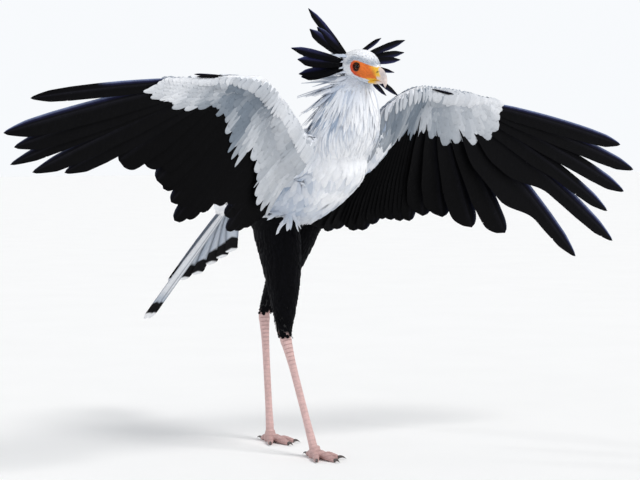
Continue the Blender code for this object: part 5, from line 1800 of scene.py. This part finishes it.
# The coverts' border from the hand inwards: leading point, tip, angle in degrees, length, half width, how
# pointed the feather is and how dark, which is partly its own grey and partly painted shade
COVERT_ROWS = {
    "right": (
        (0.470, -0.157, 0.534, -0.119, 6, 0.105, 0.0085, 0.3, 0.15),
        (0.440, -0.159, 0.514, -0.105, 9, 0.105, 0.0095, 0.3, 0.20),
        (0.410, -0.161, 0.488, -0.100, 12, 0.105, 0.0095, 0.3, 0.15),
        (0.375, -0.163, 0.449, -0.084, 16, 0.110, 0.0110, 0.25, 0.30),
        (0.345, -0.164, 0.414, -0.080, 20, 0.105, 0.0110, 0.2, 0.35),
        (0.310, -0.166, 0.374, -0.085, 24, 0.090, 0.0110, 0.1, 0.65),
        (0.280, -0.167, 0.334, -0.089, 30, 0.080, 0.0110, 0.1, 1.00),
        (0.256, -0.166, 0.318, -0.068, 38, 0.080, 0.0115, 0.1, 1.00),
        (0.230, -0.165, 0.288, -0.050, 50, 0.080, 0.0130, 0.1, 1.00),
        (0.205, -0.162, 0.284, -0.024, 52, 0.090, 0.0130, 0.1, 1.00),
        (0.180, -0.156, 0.267, -0.004, 55, 0.090, 0.0120, 0.1, 0.95),
        (0.160, -0.146, 0.267, 0.018, 52, 0.095, 0.0095, 0.5, 0.75),
        (0.145, -0.135, 0.255, 0.038, 55, 0.095, 0.0095, 0.5, 0.60),
        (0.130, -0.122, 0.238, 0.053, 58, 0.095, 0.0095, 0.6, 0.50),
        (0.115, -0.110, 0.208, 0.020, 60, 0.090, 0.0110, 0.3, 0.35),
        (0.098, -0.094, 0.186, 0.040, 62, 0.100, 0.0180, 0.0, 0.40),
        (0.075, -0.075, 0.164, 0.070, 62, 0.110, 0.0190, 0.0, 0.40),
        (0.050, -0.052, 0.154, 0.096, 58, 0.120, 0.0170, 0.0, 0.42),
        (0.030, -0.035, 0.160, 0.112, 50, 0.110, 0.0080, 0.9, 0.40),
        (0.015, -0.025, 0.145, 0.134, 56, 0.120, 0.0180, 0.0, 0.38),
        (0.000, -0.018, 0.132, 0.158, 60, 0.130, 0.0180, 0.1, 0.34),
        (-0.010, -0.010, 0.112, 0.178, 66, 0.130, 0.0150, 0.3, 0.30),
        (-0.020, 0.000, 0.085, 0.196, 72, 0.130, 0.0130, 0.5, 0.26),
    ),
    "left": (
        (0.345, -0.118, 0.394, -0.106, 12, 0.060, 0.0095, 0.2, 0.05),
        (0.335, -0.121, 0.390, -0.091, 18, 0.085, 0.0125, 0.1, 0.10),
        (0.315, -0.126, 0.386, -0.066, 28, 0.105, 0.0165, 0.05, 0.20),
        (0.290, -0.131, 0.384, -0.040, 38, 0.125, 0.0210, 0.0, 0.30),
        (0.262, -0.137, 0.362, -0.016, 48, 0.130, 0.0260, 0.0, 0.40),
        (0.235, -0.142, 0.315, -0.002, 58, 0.135, 0.0290, 0.0, 0.45),
        (0.205, -0.148, 0.263, -0.004, 66, 0.130, 0.0270, 0.0, 0.50),
        (0.180, -0.152, 0.229, 0.000, 72, 0.125, 0.0230, 0.0, 0.55),
        (0.155, -0.157, 0.180, -0.015, 78, 0.115, 0.0170, 0.1, 0.70),
        (0.140, -0.160, 0.150, -0.030, 82, 0.095, 0.0100, 0.4, 0.80),
        (0.125, -0.162, 0.136, -0.016, 84, 0.100, 0.0085, 0.9, 0.85),
        (0.105, -0.163, 0.115, -0.013, 86, 0.100, 0.0085, 0.8, 0.85),
        (0.080, -0.162, 0.081, -0.009, 88, 0.100, 0.0100, 0.7, 0.85),
        (0.060, -0.156, 0.058, -0.002, 92, 0.100, 0.0100, 0.8, 0.80),
        (0.035, -0.140, 0.038, 0.014, 92, 0.100, 0.0105, 0.5, 0.75),
        (0.010, -0.118, 0.020, 0.032, 94, 0.100, 0.0110, 0.7, 0.70),
        (-0.020, -0.090, -0.005, 0.045, 96, 0.100, 0.0120, 0.3, 0.6),
    ),
}
COVERT_SHARES = (0.27, 0.40, 0.53, 0.66, 0.79, 0.90, 1.00)
COVERT_CROWN = (0.12, 0.0005)
COVERT_SLANT = 0.12
BED_REACH = 0.060
BED_LIMIT = 0.030


def bed_lift(wing, surface, span, chord, face):
    """How far the flesh stands off the wing's plane on one face."""
    origins = wing.place(span, chord, face * BED_REACH).reshape(-1, 3)
    directions = (chord_axes(span)[1] * -face).reshape(-1, 3)
    depth = BED_REACH - surface.reach(origins, directions, BED_REACH)
    return np.minimum(depth, BED_LIMIT).reshape(np.shape(span))


def covert_rows(wing, share, draw):
    """One tier's feathers: one for each row at the border, more and smaller ones at the leading edge."""
    table = np.array(COVERT_ROWS[wing.side], float)
    table[:, 4] = np.radians(table[:, 4])
    if share == 1.0:
        return table
    line = table[:, :2] + (table[:, 2:4] - table[:, :2]) * share
    travelled = np.concatenate([[0.0], np.cumsum(np.linalg.norm(np.diff(line, axis=0), axis=1))])
    count = int(travelled[-1] / (1.25 * table[:, 6].mean() * (0.6 + 0.4 * share)))
    at = (np.arange(count) + 0.5 + draw.uniform(-0.25, 0.25, count)) / count * travelled[-1]
    table = np.stack([np.interp(at, travelled, column) for column in table.T], -1)
    table[:, 4] += draw.normal(0.0, 0.06, count)
    table[:, 5] *= (0.35 + 0.60 * share) * draw.uniform(0.9, 1.1, count)
    table[:, 6] *= (0.60 + 0.40 * share) * draw.uniform(0.85, 1.15, count)
    table[:, 7] *= 0.6
    return table


def add_wing_tier(shell, wing, surface, face, share, colour_of, draw, rows=10, columns=7):
    table = covert_rows(wing, share, draw)
    count = len(table)
    lead, tips, angle, length, half, pointed, dark = (
        table[:, :2], table[:, 2:4], table[:, 4], table[:, 5], table[:, 6], table[:, 7:8], table[:, 8])
    heading = heading_vector(angle)
    tips = lead + (tips - lead) * (share * draw.uniform(0.985, 1.015, count))[:, None]
    if share < 1.0:
        length = np.minimum(length, 0.004 + 0.85 * np.linalg.norm(tips - lead, axis=1))
    roots = tips - heading * length[:, None]
    places = np.sin(np.linspace(0.0, 0.5 * np.pi, rows))
    line = roots[:, None] + heading[:, None] * (length[:, None] * places)[..., None]
    bed = bed_lift(wing, surface, line[..., 0], line[..., 1], face)
    padded = np.concatenate([bed[:, :1], bed, bed[:, -1:]], axis=1)
    bed = sum(weight * padded[:, step:step + rows] for step, weight in enumerate((0.25, 0.5, 0.25)))
    lift = bed + 0.0018 + (0.0048 - 0.0018 * share) * places**0.8 * (1.0 - 0.30 * share * places)
    lift = lift * draw.uniform(0.92, 1.08, count)[:, None]
    centre = wing.place(line[..., 0], line[..., 1], face * lift)
    across = np.stack([np.sin(angle), -np.cos(angle)], -1)[:, None]
    beside = line + across * 0.003
    side = unit(wing.place(beside[..., 0], beside[..., 1], face * lift) - centre)
    along = unit(np.gradient(centre, axis=1))
    away = unit(np.cross(side, along))
    back = chord_axes(line[..., 0])[1]
    away = away * np.sign(np.einsum("ijk,ijk->ij", away, back * face))[..., None]
    side = np.cross(along, away)
    narrow = np.interp(places, *np.array(POINTED_SHAPE).T)
    blunt = (0.5 + 0.5 * blend(places, 0.0, 0.4)) * rounded(places, 0.34)
    widths = half[:, None] * (blunt * (1.0 - pointed) + narrow * pointed)
    # Painted shade on the edges of the feather tips, most on the border tier
    rim_shade = 0.55 if share == 1.0 else 0.30
    marks = feather_marks(colour_of(share, dark, roots), rows, draw, 0.06, 0.03, rim_shade)
    u = np.clip((roots[:, 0] + 0.12) / 0.80, 0, 1)
    v = np.clip((roots[:, 1] + 0.22) / 0.45, 0, 1) * 0.48 + (0.51 if face > 0 else 0.01)
    bake = np.stack([0.01 + 0.98 * u, v], -1)
    crown = (columns, *COVERT_CROWN)
    add_small(shell, centre, side, away, along, widths, crown, length, bake, marks, draw, COVERT_SLANT)


def under_colour(share, dark, roots):
    """Under the wing: white at the leading edge and grey behind it, partly the coverts' own grey and partly
    painted shade.
    """
    soft = 0.75 + 0.5 * wave(np.column_stack([roots, roots[:, 0]]), 28.0, 0.4)
    # Painted shade mixed with the coverts' own grey, as deep as each row's darkness says
    hollow = np.clip(dark**0.55 * soft, 0, 1) * blend(share, 0.08, 0.42)
    return mix(np.broadcast_to(WHITE, (len(dark), 3)), UNDERWING_GREY_SHADE, hollow)


def upper_colour(share, dark, roots):
    """On top of the wing: grey, with black next to the flight feathers."""
    value = mix(np.broadcast_to(PALE, (len(dark), 3)), GREY, blend(share, 0.1, 0.6))
    return mix(value, BLACK, blend(share, 0.84, 0.88))


def add_wing_coat(shell, wing, surface, regions, draw):
    """Small feathers over the arm and hand."""
    wanted = (regions == "wing") & (surface.centres[:, 0] * wing.sign > 0.0)
    roots, normals = surface.scatter(wanted, WING_SPACING, draw)
    table = np.array(COVERT_ROWS[wing.side])[::-1]
    span = (roots[:, 0] * wing.sign - SHOULDER[0]) / math.cos(wing.sweep)
    angle = np.interp(span, table[:, 0], np.radians(table[:, 4]))
    down = chord_axes(span)[0]
    flow = np.cos(angle)[:, None] * wing.along + np.sin(angle)[:, None] * down
    above = blend(normals @ np.array([0.0, 1.0, 0.3]), -0.1, 0.5)
    colour = mix(np.broadcast_to(WHITE, roots.shape), PALE, 0.3 + 0.7 * above)
    turn = np.arctan2(normals[:, 2], normals[:, 1])
    u = 0.01 + 0.98 * np.clip((span + 0.1) / 0.6, 0, 1)
    bake = np.stack([u, 0.5 + 0.49 * np.sin(turn / 2.0)], -1)
    length = 0.024 + 0.010 * (1.0 - blend(span, 0.0, 0.3))
    lay(shell, surface, roots, normals, flow, length, 0.0064, colour, bake, draw, rows=6, pointed=0.1,
        rise=(0.0005, 0.0016), jitter=0.06, root_shade=0.05, spread=0.02)


def add_coverts(shell, wing, surface, draw):
    for face, colour in ((-1.0, under_colour), (1.0, upper_colour)):
        for share in COVERT_SHARES:
            add_wing_tier(shell, wing, surface, face, share, colour, draw)


# Bill, eyes and claws


UPPER_BILL_ROWS = (
    (0.026, -0.0130, 0.0120, 0.0165, 0.0),
    (0.040, -0.0125, 0.0108, 0.0165, 4.0),
    (0.052, -0.0155, 0.0090, 0.0155, 14.0),
    (0.062, -0.0215, 0.0070, 0.0125, 32.0),
    (0.0685, -0.0300, 0.0050, 0.0080, 58.0),
    (0.0715, -0.0385, 0.0030, 0.0045, 78.0),
)
BILL_TIP = (0.0715, 0.0, -0.0470)
LOWER_BILL_ROWS = (
    (0.022, -0.0345, 0.0100, 0.0050),
    (0.038, -0.0345, 0.0088, 0.0048),
    (0.050, -0.0345, 0.0066, 0.0042),
    (0.059, -0.0345, 0.0040, 0.0032),
)
LOWER_BILL_TIP = (0.0625, 0.0, -0.0335)
NOSTRIL_PLACE = 0.0505
CERE_YELLOW = srgb(246, 196, 52)
BILL_PALE = srgb(226, 208, 200)
BILL_GREY = srgb(150, 150, 158)
CLAW_GREY = srgb(74, 66, 64)


def single(form, name, colour):
    shell = Shell()
    points, faces = form
    shell.add(points, faces, mark=colour(points))
    return shell.build(name)


def upper_bill_form():
    rings = []
    for place, height, half_width, half_height, lean in spline_rows(UPPER_BILL_ROWS, 44):
        lean = math.radians(lean)
        up = HEAD.up * math.cos(lean) + HEAD.forward * math.sin(lean)
        centre = HEAD.at(place, 0.0, height)
        rings.append(section(centre, HEAD.side, up, half_width, half_height, 44, 2.2))
    points, faces = loft(rings, rings[0].mean(axis=0), HEAD.at(*BILL_TIP))
    forward, side, up = HEAD.read(points)
    slit = nostril(forward, up, 0.0045, 0.0014)
    cere = (1.0 - blend(forward + 0.5 * (up + 0.01), 0.0545, 0.0565)) * blend(up, -0.022, -0.018)
    puff = 0.0006 * cere
    points = points + HEAD.side * (np.sign(side) * (puff - 0.0022 * slit))[:, None]
    return points, faces


def nostril(forward, up, half_length, half_height):
    """1 in the nostril's slanting slit, fading out round it."""
    ahead = forward - NOSTRIL_PLACE
    above = up + 0.0100 - 0.35 * ahead
    return np.exp(-((ahead / half_length) ** 2) - ((above / half_height) ** 2))


def upper_bill_colour(points):
    forward, _, up = HEAD.read(points)
    cere = 1.0 - blend(forward + 0.5 * (up + 0.01), 0.0545, 0.0570)
    gape = 1.0 - blend(up + 0.10 * (forward - 0.03), -0.0275, -0.0250)
    colour = mix(BILL_PALE, BILL_GREY, 0.65 * blend(forward, 0.055, 0.072) * blend(up, -0.030, -0.012))
    colour = mix(colour, CERE_YELLOW, cere * blend(up, -0.024, -0.018))
    colour = mix(colour, FACE_YELLOW, gape * (1.0 - blend(forward, 0.050, 0.062)))
    # Painted shade: the nostril's slit is painted near-black for the dark inside the opening
    return mix(colour, LID_BLACK, np.clip(1.6 * nostril(forward, up, 0.0042, 0.0012), 0, 1))


def lower_bill_form():
    rings = []
    for place, height, half_width, half_height in spline_rows(LOWER_BILL_ROWS, 24):
        rings.append(section(HEAD.at(place, 0.0, height), HEAD.side, HEAD.up, half_width, half_height, 30))
    return loft(rings, rings[0].mean(axis=0), HEAD.at(*LOWER_BILL_TIP))


def lower_bill_colour(points):
    forward, _, up = HEAD.read(points)
    colour = mix(FACE_YELLOW, BILL_PALE, blend(forward, 0.038, 0.054))
    return mix(colour, BILL_GREY, 0.5 * blend(-up, 0.034, 0.040))


IRIS_BROWN = srgb(92, 46, 20)
IRIS_RADIUS = 0.0084
PUPIL_RADIUS = 0.58 * IRIS_RADIUS
EYE_SIDES = 48
CORNEA_RISE = 0.0024


def eye_ring(pose, depth, radius):
    """A ring round the eye's axis."""
    angle = 2.0 * np.pi * (np.arange(EYE_SIDES) + 0.5) / EYE_SIDES
    ring = (np.cos(angle)[:, None] * pose.side + np.sin(angle)[:, None] * pose.up) * radius
    return pose.at(depth, 0.0, 0.0) + ring


def dome_ring(pose, depth, radius, height, share):
    """A ring of a dome, at a share of its radius."""
    return eye_ring(pose, depth + CORNEA_RISE * math.sqrt(1.0 - share**2) * height, radius * share)


def eye_forms(sign):
    """A ball with a hollow iris and a clear dome over it, turned on the eye's axis."""
    pose = Pose(eye_centre(sign), unit(HEAD.side * sign + HEAD.forward * 0.16), HEAD.up)
    profile = []
    for step in range(1, 16):
        angle = math.pi * step / 22.0
        profile.append((-math.cos(angle) * EYE_RADIUS, math.sin(angle) * EYE_RADIUS))
    edge = math.sqrt(EYE_RADIUS**2 - IRIS_RADIUS**2)
    profile.append((edge - 0.0003, IRIS_RADIUS))
    for share in np.linspace(0.95, 0.05, 12):
        profile.append((edge - 0.0010 - 0.0008 * (1.0 - share), IRIS_RADIUS * share))
    rings = [eye_ring(pose, depth, radius) for depth, radius in profile]
    ball_form = loft(rings, pose.at(-EYE_RADIUS, 0.0, 0.0), pose.at(edge - 0.0018, 0.0, 0.0))
    closing, opening = np.linspace(1.0, 0.06, 14), np.linspace(0.06, 0.97, 12)
    outer = [dome_ring(pose, edge + 0.0001, IRIS_RADIUS * 1.02, 1.25, share) for share in closing]
    inner = [dome_ring(pose, edge - 0.0003, IRIS_RADIUS, 1.1, share) for share in opening]
    dome_form = loft(outer[::-1] + inner[::-1], outer[-1].mean(axis=0), inner[0].mean(axis=0))
    return pose, ball_form, dome_form


def build_eyes(materials):
    for side, sign in (("right", 1.0), ("left", -1.0)):
        pose, ball_form, dome_form = eye_forms(sign)

        def colour(points):
            depth, across, up = pose.read(points)
            radius = np.hypot(across, up)
            front = depth > 0.003
            shade = mix(IRIS_BROWN, IRIS_BROWN * 0.25, blend(radius, 0.72 * IRIS_RADIUS, IRIS_RADIUS))
            shade = mix(shade, LID_BLACK * 0.3, 1.0 - blend(radius, PUPIL_RADIUS - 0.0003, PUPIL_RADIUS))
            return np.where((front & (radius < IRIS_RADIUS * 1.01))[:, None], shade, LID_BLACK)

        item = single(ball_form, "eyeball_" + side, colour)
        dress(item, materials["eye"], "eye_gloss", "eye_" + side)
        dome = single(dome_form, "cornea_" + side, lambda points: np.ones_like(points))
        dome.visible_shadow = False
        dress(dome, materials["cornea"], "eye_gloss")


def claw_form(side, name, turn, length, radius):
    direction = toe_direction(side, turn)
    height = radius * TOE_PROFILE[-1][1] * TOE_CENTRE_SHARE
    base = FOOT_PLACE[side] + direction * (TOE_ROOT_REACH + length + GAP - 0.002) + UPWARD * height
    reach = CLAW_LENGTHS[name] + 0.002
    rings = []
    for place, share in spline_rows(CLAW_PROFILE, 18):
        rise = 0.0035 * math.sin(math.pi * place) - 0.0015 * place
        centre = base + direction * (reach * place) + UPWARD * rise
        half = radius * CLAW_WIDTH_SHARE * share
        rings.append(section(centre, np.cross(direction, UPWARD), UPWARD, half * 0.85, half, 20))
    return loft(rings, rings[0].mean(axis=0), base + direction * reach - UPWARD * CLAW_DROP)


def claw_colour(points):
    return np.broadcast_to(CLAW_GREY, points.shape) * (0.8 + 0.4 * blend(points[:, 2:], 0.0, 0.010))


# Build


def make_materials():
    return {
        "black": feather_material("black_feathers", 0.62, 0.008, (0.45, 0.50, 0.95), 0.35, 0.05),
        "white": feather_material("white_feathers", 0.78, 0.01, (0.85, 0.90, 1.0), 0.07, 0.08),
        "skin": skin_material(),
        "horn": horn_material("bill_horn", (40.0, 40.0, 900.0), 0.32, 0.35),
        "claw": horn_material("claw_horn", (300.0, 300.0, 60.0), 0.35, 0.30),
        "eye": eye_material(),
        "cornea": cornea_material(),
    }


FLESH_NODES = (
    "torso", "neck", "head", "thigh_right", "thigh_left", "tarsus_right", "tarsus_left",
    "foot_right", "foot_left",
)
TORSO_SEAM = -0.04


def plume(name, material, slot, nodes, add, *values):
    """A piece made of the feathers that one function adds."""
    shell = Shell()
    add(shell, *values)
    dress(shell.build(name, sharp=RIM_ANGLE), material, slot, *nodes)


def build_coat(skin, black, white):
    """The coats of small feathers, which lie over flesh that the skin replaces."""
    surface = Surface(skin)
    regions = region_of(surface.centres)
    x, y, _ = surface.centres.T
    draw = np.random.default_rng(SEED + 20)
    plume("coat_head", white, "body_plumage", (), add_head_coat, surface, regions, draw)
    plume("coat_neck", white, "body_plumage", (), add_neck_coat, surface, regions, draw)
    past_tail_root = (surface.centres - TAIL_ROOT) @ TAIL.forward
    torso = (regions == "torso") | ((regions == "tail") & (past_tail_root < TAIL_COVERT_REACH))
    for name, part in (("front", y < TORSO_SEAM), ("rear", y >= TORSO_SEAM)):
        plume("coat_torso_" + name, white, "body_plumage", (), add_torso_coat, surface, torso & part, draw)
    for side, sign in (("right", -1.0), ("left", 1.0)):
        wing = Wing(side)
        thigh = (regions == "thigh") & (x * sign > 0.0)
        plume("coat_thigh_" + side, black, "thigh_plumage", (), add_thigh_coat, surface, thigh, side, draw)
        plume("coat_wing_" + side, white, "wing_plumage", (), add_wing_coat, wing, surface, regions, draw)
        plume("coverts_" + side, white, "wing_plumage", (), add_coverts, wing, surface, draw)


def build_bird(materials):
    black, white, horn = materials["black"], materials["white"], materials["horn"]
    skin = build_skin()
    paint_skin(skin)
    dress(skin, materials["skin"], "body_plumage", *FLESH_NODES)
    for side in ("right", "left"):
        draw = np.random.default_rng(SEED + (side == "left"))
        node = "wing_" + side
        plume("flight_" + side, black, "wing_plumage", (node,), add_flight_feathers, Wing(side), draw)
    draw = np.random.default_rng(SEED + 5)
    plume("tail_feathers", white, "tail_plumage", ("tail",), add_tail, draw)
    plume("crest", black, "body_plumage", (), add_crest, draw)
    build_coat(skin, black, white)
    dress(single(upper_bill_form(), "bill_top", upper_bill_colour), horn, "bill_horn", "bill_upper")
    dress(single(lower_bill_form(), "bill_under", lower_bill_colour), horn, "bill_horn", "bill_lower")
    build_eyes(materials)
    for side in ("right", "left"):
        for toe in TOES:
            item = single(claw_form(side, *toe), "talon_%s_%s" % (side, toe[0]), claw_colour)
            dress(item, materials["claw"], "claw_horn", "claw_%s_%s" % (side, toe[0]))


# Floor, light and camera


CAMERA_PLACE = np.array([-2.599, -3.716, 0.777])
CAMERA_TARGET = np.array([0.101, 0.0, 0.537])
CAMERA_LENS = 98.76
SENSOR = 36.0
FLOOR_HALF = 40.0
# The sky's strength falls from the first to the second between these heights of the view
SKY_FALL = {"From Min": 0.12, "From Max": 0.60, "To Min": 0.98, "To Max": 0.46}
SKY_COLOUR = (0.955, 0.975, 1.0, 1.0)
# Name, place that it shines from, strength, softness in degrees, and colour
SUNS = (
    ("key", (1.2, -3.2, 4.2), 1.75, 24.0, (1.0, 0.985, 0.96)),
    ("fill", (-4.0, -1.5, 1.6), 0.35, 60.0, (0.80, 0.88, 1.0)),
    ("catch", (-0.574, 0.677, 0.464), 0.20, 1.6, (1.0, 1.0, 1.0)),
)


def floor_material():
    nodes = Nodes("pale_floor")
    grain = nodes.noise(nodes.position(), 3.0, 3.0)
    return nodes.finish(nodes.neutral(nodes.vary(grain, 0.945, 0.965)), 0.9)


def build_floor():
    mesh = bpy.data.meshes.new("floor")
    corners = [(-FLOOR_HALF, -FLOOR_HALF, 0), (FLOOR_HALF, -FLOOR_HALF, 0), (FLOOR_HALF, FLOOR_HALF, 0),
               (-FLOOR_HALF, FLOOR_HALF, 0)]
    mesh.from_pydata(corners, [], [(0, 1, 2, 3)])
    item = bpy.data.objects.new("floor", mesh)
    item.data.materials.append(floor_material())
    bpy.context.scene.collection.objects.link(item)
    item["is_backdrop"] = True


def aim(item, place, target):
    item.location = place
    item.rotation_mode = "QUATERNION"
    item.rotation_quaternion = (Vector(target) - Vector(place)).to_track_quat("-Z", "Y")


def build_light():
    """A soft sun from the front right, a cool one from the left, and a sky that is brightest low down."""
    world = bpy.data.worlds.new("sky")
    world.use_nodes = True
    tree = world.node_tree
    place = tree.nodes.new("ShaderNodeTexCoord").outputs["Generated"]
    split = tree.nodes.new("ShaderNodeSeparateXYZ")
    tree.links.new(place, split.inputs[0])
    height = tree.nodes.new("ShaderNodeMapRange")
    for name, value in SKY_FALL.items():
        height.inputs[name].default_value = value
    tree.links.new(split.outputs["Z"], height.inputs["Value"])
    background = tree.nodes["Background"]
    background.inputs["Color"].default_value = SKY_COLOUR
    tree.links.new(height.outputs["Result"], background.inputs["Strength"])
    bpy.context.scene.world = world
    for name, place, strength, softness, colour in SUNS:
        lamp = bpy.data.lights.new(name, "SUN")
        lamp.energy, lamp.angle, lamp.color = strength, math.radians(softness), colour
        item = bpy.data.objects.new(name, lamp)
        bpy.context.scene.collection.objects.link(item)
        aim(item, place, (0.0, 0.0, 0.0))


def build_camera():
    camera = bpy.data.cameras.new("camera")
    camera.lens, camera.sensor_width = CAMERA_LENS, SENSOR
    item = bpy.data.objects.new("camera", camera)
    bpy.context.scene.collection.objects.link(item)
    aim(item, CAMERA_PLACE + OFFSET, CAMERA_TARGET + OFFSET)
    bpy.context.scene.camera = item
    bpy.context.scene.view_settings.view_transform = "Standard"


def write_size():
    boxes = {"cad": CAD_BOX, "visual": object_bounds()}
    {name: [list(low), list(high)] for name, (low, high) in boxes.items()}


build_bird(make_materials())
build_floor()
build_light()
build_camera()
write_size()
